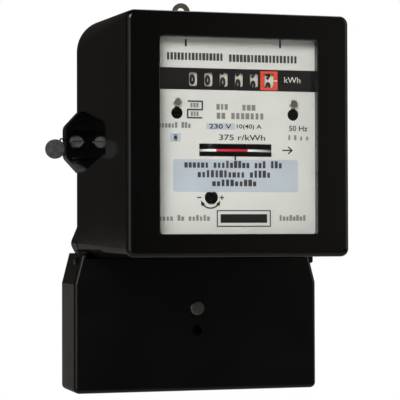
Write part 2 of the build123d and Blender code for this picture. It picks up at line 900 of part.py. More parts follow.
# Terminal block with pockets for the terminals and wells for their screws
with BuildPart() as terminal_block:
    with BuildSketch(front_plane(base_floor)):
        with Locations((0, -(block_top + block_bottom) / 2)):
            Rectangle(2 * block_half, block_bottom - block_top)
    extrude(amount=block_front - base_floor)
    chamfer(terminal_block.faces().sort_by(Axis.Y)[0].edges(), block_edge_radius)
    pocket_drop = (terminal_top + terminal_bottom) / 2
    with BuildSketch(front_plane(base_floor)):
        for x in terminal_xs:
            with Locations((x, -pocket_drop)):
                Rectangle(
                    terminal_width + 2 * terminal_gap,
                    terminal_bottom - terminal_top + 2 * terminal_gap,
                )
    extrude(amount=terminal_front + terminal_gap - base_floor, mode=Mode.SUBTRACT)
    with BuildSketch(Plane.XY.offset(-block_bottom)):
        for x in terminal_xs:
            with Locations((x, -wire_depth)):
                Circle(wire_entry_radius)
    extrude(amount=block_bottom - terminal_bottom, mode=Mode.SUBTRACT)
    with BuildSketch(front_plane(terminal_front + terminal_gap)):
        for x in terminal_xs:
            for drop in terminal_screw_drops:
                with Locations((x, -drop)):
                    Circle(terminal_well_radius)
    extrude(amount=block_front - terminal_front, mode=Mode.SUBTRACT)
    with BuildSketch(front_plane(block_front - cover_screw_length)):
        with Locations((0, -cover_screw_drop)):
            Circle(cover_screw_radius + screw_clearance)
    extrude(amount=cover_screw_length, mode=Mode.SUBTRACT)
    with BuildSketch(front_plane(block_front - link_screw_length - link_tap_spare)):
        with Locations((terminal_xs[0], -link_tap_drop)):
            Circle(link_screw_radius + screw_clearance)
    extrude(amount=link_screw_length + link_tap_spare, mode=Mode.SUBTRACT)
terminal_block.part.label = "terminal_block"
export_step(terminal_block.part, "parts/terminal_block.step")

# Four brass terminals, each bored from below for a wire and from the front for two screws
for i, x in enumerate(terminal_xs):
    with BuildPart() as terminal:
        with BuildSketch(front_plane(terminal_rear)):
            with Locations((x, -pocket_drop)):
                Rectangle(terminal_width, terminal_bottom - terminal_top)
        extrude(amount=terminal_front - terminal_rear)
        with BuildSketch(Plane.XY.offset(-terminal_bottom)):
            with Locations((x, -wire_depth)):
                Circle(wire_bore_radius)
        extrude(amount=wire_bore_length, mode=Mode.SUBTRACT)
        with BuildSketch(front_plane(wire_depth)):
            for drop in terminal_screw_drops:
                with Locations((x, -drop)):
                    Circle(terminal_screw_radius + screw_clearance)
        extrude(amount=terminal_front - wire_depth, mode=Mode.SUBTRACT)
    terminal.part.label = f"terminal_{i + 1}"
    export_step(terminal.part, f"parts/terminal_{i + 1}.step")

# Eight terminal screws, backed out of the wire bores as they come from the maker
with BuildPart() as terminal_screws:
    with BuildSketch(front_plane(terminal_seat)):
        for x in terminal_xs:
            for drop in terminal_screw_drops:
                with Locations((x, -drop)):
                    Circle(terminal_head_radius)
    extrude(amount=terminal_head_height)
    with BuildSketch(front_plane(terminal_seat)):
        for x in terminal_xs:
            for drop in terminal_screw_drops:
                with Locations((x, -drop)):
                    Circle(terminal_screw_radius)
    extrude(amount=terminal_tip - terminal_seat)
    with BuildSketch(front_plane(terminal_seat + terminal_head_height - slot_depth)):
        for x in terminal_xs:
            for drop in terminal_screw_drops:
                with Locations((x, -drop)):
                    Rectangle(2 * terminal_head_radius + slot_overrun, slot_width)
    extrude(amount=slot_depth, mode=Mode.SUBTRACT)
terminal_screws.part.label = "terminal_screws"
export_step(terminal_screws.part, "parts/terminal_screws.step")

# Voltage link: a brass strap from its tap down to the first terminal's upper screw well
with BuildPart() as voltage_link:
    with BuildSketch(front_plane(block_front)):
        with Locations((terminal_xs[0], -(link_low + link_high) / 2)):
            RectangleRounded(link_width, link_low - link_high, link_corner)
        with Locations((terminal_xs[0], -link_tap_drop)):
            Circle(link_screw_radius + screw_clearance, mode=Mode.SUBTRACT)
    extrude(amount=link_thickness)
voltage_link.part.label = "voltage_link"
export_step(voltage_link.part, "parts/voltage_link.step")

# Screw of the voltage link
with BuildPart() as voltage_link_screw:
    with BuildSketch(front_plane(block_front + link_thickness)):
        with Locations((terminal_xs[0], -link_tap_drop)):
            Circle(link_head_radius)
    extrude(amount=link_head_height)
    with BuildSketch(front_plane(block_front + link_thickness)):
        with Locations((terminal_xs[0], -link_tap_drop)):
            Circle(link_screw_radius)
    extrude(amount=-link_screw_length)
    with BuildSketch(front_plane(block_front + link_thickness + link_head_height / 2)):
        with Locations((terminal_xs[0], -link_tap_drop)):
            Rectangle(2 * link_head_radius + slot_overrun, dial_slot_width)
    extrude(amount=link_head_height, mode=Mode.SUBTRACT)
voltage_link_screw.part.label = "voltage_link_screw"
export_step(voltage_link_screw.part, "parts/voltage_link_screw.step")

# Dial plate with number windows, disc slot, keyholes and the adjuster's hole
red_x = drum_xs[-1]
with BuildPart() as dial_plate:
    with BuildSketch(front_plane(dial_rear)):
        with Locations((0, window_z)):
            RectangleRounded(dial_width, dial_height, window_corner)
        for x in drum_xs[:-1]:
            with Locations((x, -number_height)):
                Rectangle(number_width, number_opening, mode=Mode.SUBTRACT)
        with Locations((red_x, -number_height)):
            Rectangle(red_number_width, number_opening, mode=Mode.SUBTRACT)
        with Locations((0, -disc_height)):
            Rectangle(slot_opening_width, slot_opening_height, mode=Mode.SUBTRACT)
        with Locations((-dial_screw_x, -keyhole_drop), (dial_screw_x, -keyhole_drop)):
            Circle(keyhole_radius, mode=Mode.SUBTRACT)
        keyhole_middle = (keyhole_drop + dial_screw_drop) / 2
        keyhole_neck = 2 * (dial_screw_radius + screw_clearance)
        with Locations((-dial_screw_x, -keyhole_middle), (dial_screw_x, -keyhole_middle)):
            Rectangle(keyhole_neck, keyhole_drop - dial_screw_drop, mode=Mode.SUBTRACT)
        with Locations((-dial_screw_x, -dial_screw_drop), (dial_screw_x, -dial_screw_drop)):
            Circle(keyhole_neck / 2, mode=Mode.SUBTRACT)
        with Locations((adjuster_x, -adjuster_drop)):
            Circle(adjuster_opening, mode=Mode.SUBTRACT)
    extrude(amount=dial_thickness)
dial_plate.part.label = "dial_plate"
export_step(dial_plate.part, "parts/dial_plate.step")

# Two dial screws
with BuildPart() as dial_screws:
    with BuildSketch(front_plane(dial_front)):
        with Locations((-dial_screw_x, -dial_screw_drop), (dial_screw_x, -dial_screw_drop)):
            Circle(dial_head_radius)
    extrude(amount=dial_head_height)
    fillet(dial_screws.edges().filter_by(GeomType.CIRCLE).group_by(Axis.Y)[0], dial_head_round)
    with BuildSketch(front_plane(dial_front)):
        with Locations((-dial_screw_x, -dial_screw_drop), (dial_screw_x, -dial_screw_drop)):
            Circle(dial_screw_radius)
    extrude(amount=-dial_screw_length)
    with BuildSketch(front_plane(dial_front + dial_head_height / 2)):
        with Locations((-dial_screw_x, -dial_screw_drop), (dial_screw_x, -dial_screw_drop)):
            Rectangle(2 * dial_head_radius + slot_overrun, dial_slot_width, rotation=20)
    extrude(amount=dial_head_height, mode=Mode.SUBTRACT)
dial_screws.part.label = "dial_screws"
export_step(dial_screws.part, "parts/dial_screws.step")

# Movement frame: back plate, two arms for the bearings, magnet arm and adjuster tab
frame_top = register_top - arm_thickness
arbor_clear = bearing_radius + screw_clearance
tab_top = adjuster_drop - tab_above_screw
with BuildPart() as movement_frame:
    with BuildSketch(front_plane(frame_rear)):
        with Locations((0, -(frame_top + frame_low + arm_thickness) / 2)):
            RectangleRounded(2 * frame_half, frame_low + arm_thickness - frame_top, frame_corner)
        with Locations((0, -(voltage_core_top + voltage_window_low) / 2)):
            Rectangle(frame_window_width, frame_window_height, mode=Mode.SUBTRACT)
    extrude(amount=frame_plate)
    with BuildSketch(Plane.XY.offset(-register_top)):
        with Locations((0, -(frame_rear + arm_front) / 2)):
            Rectangle(2 * arm_half, arm_front - frame_rear)
    extrude(amount=arm_thickness)
    with BuildSketch(Plane.XY.offset(-frame_low)):
        with Locations((0, -(frame_rear + lower_arm_front) / 2)):
            Rectangle(2 * arm_half, lower_arm_front - frame_rear)
        with Locations((adjuster_x, -lower_arm_front + tab_foot / 2)):
            Rectangle(2 * tab_half, tab_foot)
    extrude(amount=-arm_thickness)
    with BuildSketch(front_plane(lower_arm_front - tab_thickness)):
        with Locations((adjuster_x, -(tab_top + frame_low + arm_thickness) / 2)):
            Rectangle(2 * tab_half, frame_low + arm_thickness - tab_top)
    extrude(amount=tab_thickness)
    with BuildSketch(front_plane(frame_rear)):
        with Locations((magnet_arm_x + magnet_arm_thickness / 2, -disc_height)):
            Rectangle(magnet_arm_thickness, 2 * magnet_arm_half)
        with Locations(((frame_half + magnet_arm_x) / 2, -disc_height)):
            Rectangle(magnet_arm_x - frame_half + magnet_arm_lap, 2 * magnet_arm_half)
    extrude(amount=frame_plate)
    with BuildSketch(front_plane(frame_rear)):
        with Locations((magnet_arm_x + magnet_arm_thickness / 2, -disc_height)):
            Rectangle(magnet_arm_thickness, 2 * magnet_arm_half)
    extrude(amount=spindle_depth + magnet_half_depth - frame_rear)
    with BuildSketch(front_plane(frame_front)):
        pad_x = voltage_core_half - yoke_width / 2
        with Locations((-pad_x, -upper_pad_drop), (pad_x, -upper_pad_drop)):
            Rectangle(yoke_width - pad_inset, upper_pad_height)
        yoke_z = -current_core_low + current_yoke / 2
        with Locations((-pad_spread, yoke_z), (pad_spread, yoke_z)):
            Rectangle(lower_pad_width, current_yoke - pad_inset)
    extrude(amount=core_stand)
    with BuildSketch(Plane.XY.offset(-frame_low - arm_thickness)):
        with Locations((0, -spindle_depth)):
            Circle(arbor_clear)
    extrude(amount=frame_low + arm_thickness, mode=Mode.SUBTRACT)
    with BuildSketch(front_plane(lower_arm_front - tab_thickness)):
        with Locations((adjuster_x, -adjuster_drop)):
            Circle(adjuster_shank_radius + running_clearance)
    extrude(amount=tab_thickness, mode=Mode.SUBTRACT)
    with BuildSketch(front_plane(frame_rear)):
        for drop in frame_screw_drops:
            with Locations((-frame_screw_x, -drop), (frame_screw_x, -drop)):
                Circle(frame_screw_radius + screw_clearance)
    extrude(amount=frame_plate, mode=Mode.SUBTRACT)
    with BuildSketch(Plane.XY.offset(-register_top)):
        with Locations(*register_screw_spots):
            Circle(register_screw_radius + screw_clearance)
    extrude(amount=arm_thickness, mode=Mode.SUBTRACT)
movement_frame.part.label = "movement_frame"
export_step(movement_frame.part, "parts/movement_frame.step")

# Four screws that hold the movement frame to the posts of the base
with BuildPart() as frame_screws:
    for drop in frame_screw_drops:
        for x in (-frame_screw_x, frame_screw_x):
            with BuildSketch(front_plane(frame_front)):
                with Locations((x, -drop)):
                    Circle(frame_head_radius)
            extrude(amount=frame_head_height)
            with BuildSketch(front_plane(frame_front)):
                with Locations((x, -drop)):
                    Circle(frame_screw_radius)
            extrude(amount=-frame_screw_length)
frame_screws.part.label = "frame_screws"
export_step(frame_screws.part, "parts/frame_screws.step")

# Voltage electromagnet: laminated shell core above the disc, with its coil
voltage_pole = -disc_height + disc_thickness / 2 + pole_gap
with BuildPart() as voltage_core:
    with BuildSketch(front_plane(core_rear)):
        with Locations((0, (voltage_pole - voltage_core_top) / 2)):
            Rectangle(2 * voltage_core_half, -voltage_core_top - voltage_pole)
        window_x = (limb_half + voltage_core_half - yoke_width) / 2
        window_w = voltage_core_half - yoke_width - limb_half
        with Locations(
            (-window_x, -(voltage_window_low + voltage_window_high) / 2),
            (window_x, -(voltage_window_low + voltage_window_high) / 2),
        ):
            Rectangle(window_w, voltage_window_low - voltage_window_high, mode=Mode.SUBTRACT)
    extrude(amount=core_stack)
voltage_core.part.label = "voltage_core"
export_step(voltage_core.part, "parts/voltage_core.step")

with BuildPart() as voltage_coil:
    with BuildSketch(Plane.XY.offset(-voltage_window_low + coil_end_gap)):
        with Locations((0, -(core_rear + core_front) / 2)):
            RectangleRounded(2 * coil_half, core_stack + 2 * coil_overhang, coil_corner)
            Rectangle(2 * (limb_half + coil_gap), core_stack + 2 * coil_gap, mode=Mode.SUBTRACT)
    extrude(amount=voltage_window_low - voltage_window_high - 2 * coil_end_gap)
voltage_coil.part.label = "voltage_coil"
export_step(voltage_coil.part, "parts/voltage_coil.step")

# Current electromagnet: laminated U core below the disc, with a coil on each limb
current_pole = -disc_height - disc_thickness / 2 - pole_gap
limb_middle = (current_limb_inner + current_limb_outer) / 2
with BuildPart() as current_core:
    with BuildSketch(front_plane(core_rear)):
        with Locations((0, -current_core_low + current_yoke / 2)):
            Rectangle(2 * current_core_half, current_yoke)
        with Locations(
            (-limb_middle, (current_pole - current_core_low) / 2),
            (limb_middle, (current_pole - current_core_low) / 2),
        ):
            Rectangle(current_limb_outer - current_limb_inner, current_pole + current_core_low)
    extrude(amount=core_stack)
current_core.part.label = "current_core"
export_step(current_core.part, "parts/current_core.step")

for side, name in ((-1, "current_coil_left"), (1, "current_coil_right")):
    limb_width = current_limb_outer - current_limb_inner
    with BuildPart() as current_coil:
        with BuildSketch(Plane.XY.offset(-current_coil_low)):
            with Locations((side * limb_middle, -(core_rear + core_front) / 2)):
                RectangleRounded(
                    limb_width + 2 * (coil_gap + current_coil_wall),
                    core_stack + 2 * (coil_gap + current_coil_wall),
                    current_coil_corner,
                )
                Rectangle(
                    limb_width + 2 * coil_gap, core_stack + 2 * coil_gap, mode=Mode.SUBTRACT
                )
        extrude(amount=current_coil_low - current_coil_high)
    current_coil.part.label = name
    export_step(current_coil.part, f"parts/{name}.step")

# Brake magnet: a C of cast magnet alloy that embraces the edge of the disc
with BuildPart() as brake_magnet:
    with BuildSketch(front_plane(spindle_depth - magnet_half_depth)):
        with Locations(((magnet_inner_x + magnet_arm_x) / 2, -disc_height)):
            Rectangle(magnet_arm_x - magnet_inner_x, 2 * magnet_half_height)
        with Locations(((magnet_inner_x + magnet_arm_x - magnet_back) / 2, -disc_height)):
            Rectangle(magnet_arm_x - magnet_inner_x - magnet_back, magnet_gap, mode=Mode.SUBTRACT)
    extrude(amount=2 * magnet_half_depth)
brake_magnet.part.label = "brake_magnet"
export_step(brake_magnet.part, "parts/brake_magnet.step")

# Fine adjuster: a slotted screw reached through the dial
with BuildPart() as fine_adjuster:
    with BuildSketch(front_plane(adjuster_tail)):
        with Locations((adjuster_x, -adjuster_drop)):
            Circle(adjuster_shank_radius)
    extrude(amount=adjuster_head_depth - adjuster_head_length - adjuster_tail)
    with BuildSketch(front_plane(adjuster_head_depth - adjuster_head_length)):
        with Locations((adjuster_x, -adjuster_drop)):
            Circle(adjuster_head_radius)
    extrude(amount=adjuster_head_length)
    with BuildSketch(front_plane(adjuster_head_depth - adjuster_head_length / 2)):
        with Locations((adjuster_x, -adjuster_drop)):
            Rectangle(2 * adjuster_head_radius + slot_overrun, adjuster_slot)
    extrude(amount=adjuster_head_length, mode=Mode.SUBTRACT)
fine_adjuster.part.label = "fine_adjuster"
export_step(fine_adjuster.part, "parts/fine_adjuster.step")

# Rotor: aluminium disc on a spindle that carries the worm
with BuildPart() as rotor_disc:
    with BuildSketch(level_plane(0, -spindle_depth, disc_bottom)):
        Circle(disc_radius)
        Circle(spindle_radius + press_clearance, mode=Mode.SUBTRACT)
    extrude(amount=disc_thickness)
    with BuildSketch(level_plane(0, -spindle_depth, disc_top)):
        Circle(disc_hub_radius)
        Circle(spindle_radius + press_clearance, mode=Mode.SUBTRACT)
    extrude(amount=disc_hub_height)
rotor_disc.part.label = "rotor_disc"
export_step(rotor_disc.part, "parts/rotor_disc.step")

with BuildPart() as rotor_spindle:
    with BuildSketch(level_plane(0, -spindle_depth, -spindle_bottom)):
        Circle(spindle_radius)
    extrude(amount=spindle_bottom - spindle_top)
    with BuildSketch(level_plane(0, -spindle_depth, -worm_wheel_drop - worm_length / 2)):
        Circle(worm_radius)
    extrude(amount=worm_length)
    chamfer(rotor_spindle.edges().filter_by(GeomType.CIRCLE).sort_by(Axis.Z)[0], spindle_chamfer)
rotor_spindle.part.label = "rotor_spindle"
export_step(rotor_spindle.part, "parts/rotor_spindle.step")

# Two cup bearings in the frame's arms
for name, low, open_up in (
    ("lower_bearing", -frame_low - arm_thickness - bearing_step, True),
    ("upper_bearing", -register_top + arm_thickness + bearing_step - bearing_length, False),
):
    with BuildPart() as bearing:
        with BuildSketch(level_plane(0, -spindle_depth, low)):
            Circle(bearing_radius)
        extrude(amount=bearing_length)
        bore_low = low + bearing_cover if open_up else low
        with BuildSketch(level_plane(0, -spindle_depth, bore_low)):
            Circle(spindle_radius + running_clearance)
        extrude(amount=bearing_length - bearing_cover, mode=Mode.SUBTRACT)
    bearing.part.label = name
    export_step(bearing.part, f"parts/{name}.step")

# Positions of the register's axes, seen from the right: local X is Y and local Y is Z
drum_y = -drum_depth
drum_z = -number_height
wheel_z = -worm_wheel_drop
worm_face = spindle_depth + worm_radius + worm_clearance
drum_room = drum_depth - worm_face
drum_reach = drum_radius + worm_wheel_to_drums
wheel_tip = (drum_room**2 + (drum_z - wheel_z) ** 2 - drum_reach**2) / (2 * (drum_room + drum_reach))
worm_wheel_module = wheel_tip / (worm_wheel_teeth / 2 + tooth_addendum)
wheel_y = -(worm_face + wheel_tip)
first_mesh = train_module * (arbor_teeth + idler_big_teeth) / 2 + mesh_play
second_mesh = train_module * (idler_small_teeth + drum_gear_teeth) / 2 + mesh_play
span_y = drum_y - wheel_y
span_z = drum_z - wheel_z
span = sqrt(span_y**2 + span_z**2)
along = (first_mesh**2 - second_mesh**2 + span**2) / (2 * span)
rise = sqrt(first_mesh**2 - along**2)
idler_y = wheel_y + (along * span_y - rise * span_z) / span
idler_z = wheel_z + (along * span_z + rise * span_y) / span
if idler_z < wheel_z:
    idler_y = wheel_y + (along * span_y + rise * span_z) / span
    idler_z = wheel_z + (along * span_z - rise * span_y) / span
pinion_rise = ring_module * (ring_teeth + pinion_teeth) / 2 + mesh_play
pinion_z = drum_z + pinion_rise
drum_half = drum_rim_width / 2
gear_x = drum_xs[-1] + drum_half + drum_side_width
idler_x = gear_x + gear_width + gear_gap

# Register frame: two side plates under a bridge, with posts for the dial screws
with BuildPart() as register_frame:
    for x in (plate_left_outer, plate_right_x):
        with BuildSketch(across_plane(x, 0, 0)) as plate:
            with Locations((-(plate_front + plate_rear) / 2, -(register_top + plate_bottom) / 2)):
                Rectangle(plate_front - plate_rear, plate_bottom - register_top)
            with Locations((drum_y, drum_z)):
                Circle(drum_shaft_radius + press_clearance, mode=Mode.SUBTRACT)
            with Locations((drum_y, pinion_z)):
                Circle(pinion_shaft_radius + press_clearance, mode=Mode.SUBTRACT)
            with Locations((wheel_y, wheel_z)):
                Circle(arbor_radius + running_clearance, mode=Mode.SUBTRACT)
            if x > 0:
                with Locations((idler_y, idler_z)):
                    Circle(idler_pin_radius + press_clearance, mode=Mode.SUBTRACT)
        extrude(amount=plate_thickness)
    with BuildSketch(level_plane(0, 0, -register_top - plate_thickness)):
        with Locations(((plate_left_outer + plate_right_outer) / 2, -(plate_front + plate_rear) / 2)):
            Rectangle(plate_right_outer - plate_left_outer, plate_front - plate_rear)
        with Locations(*register_screw_spots):
            Circle(register_screw_radius + press_clearance, mode=Mode.SUBTRACT)
    extrude(amount=plate_thickness)
    with BuildSketch(front_plane(dial_rear - post_length)):
        for side in (-1, 1):
            with Locations((side * dial_screw_x, -dial_screw_drop)):
                Circle(dial_post_radius)
            with Locations((side * (dial_screw_x - post_web_width / 2), -dial_screw_drop)):
                Rectangle(post_web_width, post_web_height)
    extrude(amount=post_length)
    with BuildSketch(front_plane(dial_rear - post_length)):
        with Locations((-dial_screw_x, -dial_screw_drop), (dial_screw_x, -dial_screw_drop)):
            Circle(dial_screw_radius + screw_clearance)
    extrude(amount=post_length, mode=Mode.SUBTRACT)
register_frame.part.label = "register_frame"
export_step(register_frame.part, "parts/register_frame.step")

# Two screws that hang the register under the frame's upper arm
with BuildPart() as register_screws:
    with BuildSketch(Plane.XY.offset(-frame_top)):
        with Locations(*register_screw_spots):
            Circle(register_screw_head)
    extrude(amount=register_screw_head_height)
    with BuildSketch(Plane.XY.offset(-frame_top)):
        with Locations(*register_screw_spots):
            Circle(register_screw_radius)
    extrude(amount=-(arm_thickness + plate_thickness))
register_screws.part.label = "register_screws"
export_step(register_screws.part, "parts/register_screws.step")

# Fixed shafts of the register
shaft_length = plate_right_outer - plate_left_outer
with BuildPart() as drum_shaft:
    with BuildSketch(across_plane(plate_left_outer, drum_y, drum_z)):
        Circle(drum_shaft_radius)
    extrude(amount=shaft_length)
drum_shaft.part.label = "drum_shaft"
export_step(drum_shaft.part, "parts/drum_shaft.step")

with BuildPart() as pinion_shaft:
    with BuildSketch(across_plane(plate_left_outer, drum_y, pinion_z)):
        Circle(pinion_shaft_radius)
    extrude(amount=shaft_length)
pinion_shaft.part.label = "pinion_shaft"
export_step(pinion_shaft.part, "parts/pinion_shaft.step")

with BuildPart() as idler_pin:
    with BuildSketch(across_plane(gear_x - idler_pin_step, idler_y, idler_z)):
        Circle(idler_pin_radius)
    extrude(amount=plate_right_outer - gear_x + idler_pin_step)
idler_pin.part.label = "idler_pin"
export_step(idler_pin.part, "parts/idler_pin.step")

# Worm wheel on its arbor, which ends in the train's first pinion
with BuildPart() as worm_wheel:
    extrude(
        gear_sketch(
            across_plane(-worm_wheel_width / 2, wheel_y, wheel_z),
            worm_wheel_teeth,
            worm_wheel_module,
            0,
            arbor_radius + press_clearance,
        ),
        amount=worm_wheel_width,
    )
worm_wheel.part.label = "worm_wheel"
export_step(worm_wheel.part, "parts/worm_wheel.step")

toward_idler = atan2(idler_z - wheel_z, idler_y - wheel_y)
toward_drum = atan2(drum_z - idler_z, drum_y - idler_y)
with BuildPart() as worm_arbor:
    with BuildSketch(across_plane(plate_left_outer, wheel_y, wheel_z)):
        Circle(arbor_radius)
    extrude(amount=shaft_length)
    extrude(
        gear_sketch(
            across_plane(idler_x, wheel_y, wheel_z),
            arbor_teeth,
            train_module,
            toward_idler,
            arbor_radius / 2,
        ),
        amount=gear_width,
    )
worm_arbor.part.label = "worm_arbor"
export_step(worm_arbor.part, "parts/worm_arbor.step")

# Compound idler: the large wheel takes the arbor's pinion, the small one drives the last drum
with BuildPart() as idler_gear:
    extrude(
        gear_sketch(
            across_plane(idler_x, idler_y, idler_z),
            idler_big_teeth,
            train_module,
            toward_idler + pi + pi / idler_big_teeth,
            idler_pin_radius + running_clearance,
        ),
        amount=gear_width,
    )
    extrude(
        gear_sketch(
            across_plane(gear_x, idler_y, idler_z),
            idler_small_teeth,
            train_module,
            toward_drum,
            idler_pin_radius + running_clearance,
        ),
        amount=gear_width,
    )
    with BuildSketch(across_plane(gear_x + gear_width, idler_y, idler_z)):
        Circle(idler_pin_radius + idler_hub_wall)
        Circle(idler_pin_radius + running_clearance, mode=Mode.SUBTRACT)
    extrude(amount=gear_gap)
idler_gear.part.label = "idler_gear"
export_step(idler_gear.part, "parts/idler_gear.step")

# Six drums: a number rim between a cam on the left and a toothed ring on the right
for i, x in enumerate(drum_xs):
    last = i == drum_count - 1
    with BuildPart() as drum:
        with BuildSketch(across_plane(x - drum_half, drum_y, drum_z)):
            Circle(drum_radius)
            Circle(drum_shaft_radius + running_clearance, mode=Mode.SUBTRACT)
        extrude(amount=drum_rim_width)
        with BuildSketch(across_plane(x - drum_half - drum_side_width, drum_y, drum_z)):
            Circle(drum_cam_radius)
            Circle(drum_shaft_radius + running_clearance, mode=Mode.SUBTRACT)
        extrude(amount=drum_side_width)
        if last:
            extrude(
                gear_sketch(
                    across_plane(x + drum_half, drum_y, drum_z),
                    drum_gear_teeth,
                    train_module,
                    toward_drum + pi + pi / drum_gear_teeth,
                    drum_shaft_radius + running_clearance,
                ),
                amount=drum_side_width + gear_width,
            )
        else:
            extrude(
                gear_sketch(
                    across_plane(x + drum_half, drum_y, drum_z),
                    ring_teeth,
                    ring_module,
                    pi / 2,
                    drum_shaft_radius + running_clearance,
                ),
                amount=drum_side_width,
            )
    drum.part.label = f"drum_{i + 1}"
    export_step(drum.part, f"parts/drum_{i + 1}.step")

# Five transfer pinions between neighbouring drums
for i, x in enumerate(drum_xs[:-1]):
    with BuildPart() as transfer_pinion:
        extrude(
            gear_sketch(
                across_plane(x + drum_pitch / 2 - pinion_width / 2, drum_y, pinion_z),
                pinion_teeth,
                ring_module,
                -pi / 2 + pi / pinion_teeth,
                pinion_shaft_radius + running_clearance,
            ),
            amount=pinion_width,
        )
    transfer_pinion.part.label = f"transfer_pinion_{i + 1}"
    export_step(transfer_pinion.part, f"parts/transfer_pinion_{i + 1}.step")
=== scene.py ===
"""Studio scene of a single-phase induction electricity meter in a black phenolic case.

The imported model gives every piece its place. This script dresses the pieces in their
finishes, prints the dial, numbers the drums, and sets the light and the camera.
"""
import json
import logging
import math
import random
from collections.abc import Iterable, Sequence
from dataclasses import dataclass
from enum import Enum

import bmesh
import bpy
from mathutils import Matrix, Vector


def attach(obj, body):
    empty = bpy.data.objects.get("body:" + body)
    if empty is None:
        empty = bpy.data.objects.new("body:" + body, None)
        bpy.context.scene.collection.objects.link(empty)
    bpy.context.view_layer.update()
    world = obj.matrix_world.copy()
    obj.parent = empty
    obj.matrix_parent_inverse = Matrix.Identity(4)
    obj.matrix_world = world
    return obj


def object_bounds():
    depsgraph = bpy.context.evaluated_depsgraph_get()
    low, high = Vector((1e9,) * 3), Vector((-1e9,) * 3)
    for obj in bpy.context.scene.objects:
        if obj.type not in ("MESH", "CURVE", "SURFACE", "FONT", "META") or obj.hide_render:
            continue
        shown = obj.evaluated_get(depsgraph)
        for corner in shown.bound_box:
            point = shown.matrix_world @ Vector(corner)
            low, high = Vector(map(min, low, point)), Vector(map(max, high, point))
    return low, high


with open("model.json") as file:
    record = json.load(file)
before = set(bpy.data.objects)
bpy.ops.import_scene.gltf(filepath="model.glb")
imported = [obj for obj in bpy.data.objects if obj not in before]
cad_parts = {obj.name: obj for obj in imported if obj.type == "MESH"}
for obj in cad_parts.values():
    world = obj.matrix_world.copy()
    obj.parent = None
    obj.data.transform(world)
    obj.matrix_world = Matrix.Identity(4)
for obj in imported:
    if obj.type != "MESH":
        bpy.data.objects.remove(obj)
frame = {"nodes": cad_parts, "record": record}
cad_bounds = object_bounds()

log = logging.getLogger("meter")

MM = 0.001
METER = "meter"

# A noise factor keeps between these two values nearly everywhere
NOISE_LOW = 0.3
NOISE_HIGH = 0.7
# How strong each finer octave of a noise is beside the one before
OCTAVE_SHARE = 0.55
# The colour sockets of a Mix node, which share their names with its other kinds
MIX_FIRST = 6
MIX_SECOND = 7
MIX_RESULT = 2
# Length of one band of the Wave texture at a scale of one
WAVE_PERIOD = math.pi / 10
# How finely print is drawn: steps in a round corner, a curved line and a letter's curve
CORNER_STEPS = 6
ARC_STEPS = 20
LETTER_STEPS = 4
# The corners of a rectangle, anticlockwise from the upper right
CORNERS = ((1, 1), (-1, 1), (-1, -1), (1, -1))
# The drums' middles across, the red one last, and their shaft's height, in millimetres
DRUM_XS = (-22.3, -14.3, -6.3, 1.7, 9.7, 17.7)
DRUM_Z = -47.3

Point = tuple[float, float]
Place = tuple[float, float, float]
Outline = list[Point]


def linear(hex_colour: str) -> tuple[float, float, float, float]:
    """Turn an sRGB hex colour into linear light.

    Args:
        hex_colour: a colour such as "#15130F".

    Returns:
        Red, green, blue and an alpha of one.
    """
    # The curve is the sRGB standard's
    parts = []
    for start in (1, 3, 5):
        share = int(hex_colour[start : start + 2], 16) / 255
        parts.append(share / 12.92 if share <= 0.04045 else ((share + 0.055) / 1.055) ** 2.4)
    return (parts[0], parts[1], parts[2], 1.0)


def add_node(
    tree: bpy.types.NodeTree, kind: str, inputs: dict | None = None, **settings: object
) -> bpy.types.Node:
    """Add one node with its settings, values and links.

    Args:
        tree: the node tree that takes the node.
        kind: the node's type name.
        inputs: socket name or index, to a value or to the output that feeds it.
        settings: properties of the node itself.

    Returns:
        The new node.
    """
    node = tree.nodes.new(kind)
    for name, value in settings.items():
        setattr(node, name, value)
    for socket, value in (inputs or {}).items():
        if isinstance(value, bpy.types.NodeSocket):
            tree.links.new(value, node.inputs[socket])
        else:
            node.inputs[socket].default_value = value
    return node


def pattern_place(tree: bpy.types.NodeTree, size_mm: Sequence[float]) -> bpy.types.NodeSocket:
    """Give coordinates in which one unit is one pattern element.

    Args:
        tree: the material's node tree.
        size_mm: the element's size along X, Y and Z in millimetres.

    Returns:
        The vector output to feed a pattern with.
    """
    place = add_node(tree, "ShaderNodeTexCoord")
    scale = tuple(1 / (size * MM) for size in size_mm)
    inputs = {"Vector": place.outputs["Object"], "Scale": scale}
    return add_node(tree, "ShaderNodeMapping", inputs).outputs["Vector"]


def maths(
    tree: bpy.types.NodeTree, operation: str, *values: float | bpy.types.NodeSocket
) -> bpy.types.NodeSocket:
    """Work out one operation on values or outputs.

    Args:
        tree: the node tree that takes the node.
        operation: the operation's name.
        values: what it works on, in order.

    Returns:
        The result's output.
    """
    node = add_node(tree, "ShaderNodeMath", dict(enumerate(values)), operation=operation)
    return node.outputs[0]


def ramp(
    tree: bpy.types.NodeTree,
    value: bpy.types.NodeSocket,
    start: float,
    end: float,
    low: float,
    high: float,
) -> bpy.types.NodeSocket:
    """Run from one value to another as a factor goes from its start to its end."""
    inputs = {"Value": value, "From Min": start, "From Max": end, "To Min": low, "To Max": high}
    return add_node(tree, "ShaderNodeMapRange", inputs).outputs["Result"]


def noise(
    tree: bpy.types.NodeTree, size_mm: Sequence[float], detail: float = 3.0
) -> bpy.types.NodeSocket:
    """Give a noise whose grains have the stated size, as a factor.

    Args:
        tree: the material's node tree.
        size_mm: grain size along X, Y and Z in millimetres.
        detail: how many finer octaves lie on the grains.

    Returns:
        The factor output.
    """
    inputs = {
        "Vector": pattern_place(tree, size_mm),
        "Scale": 1.0,
        "Detail": detail,
        "Roughness": OCTAVE_SHARE,
    }
    return add_node(tree, "ShaderNodeTexNoise", inputs).outputs["Fac"]


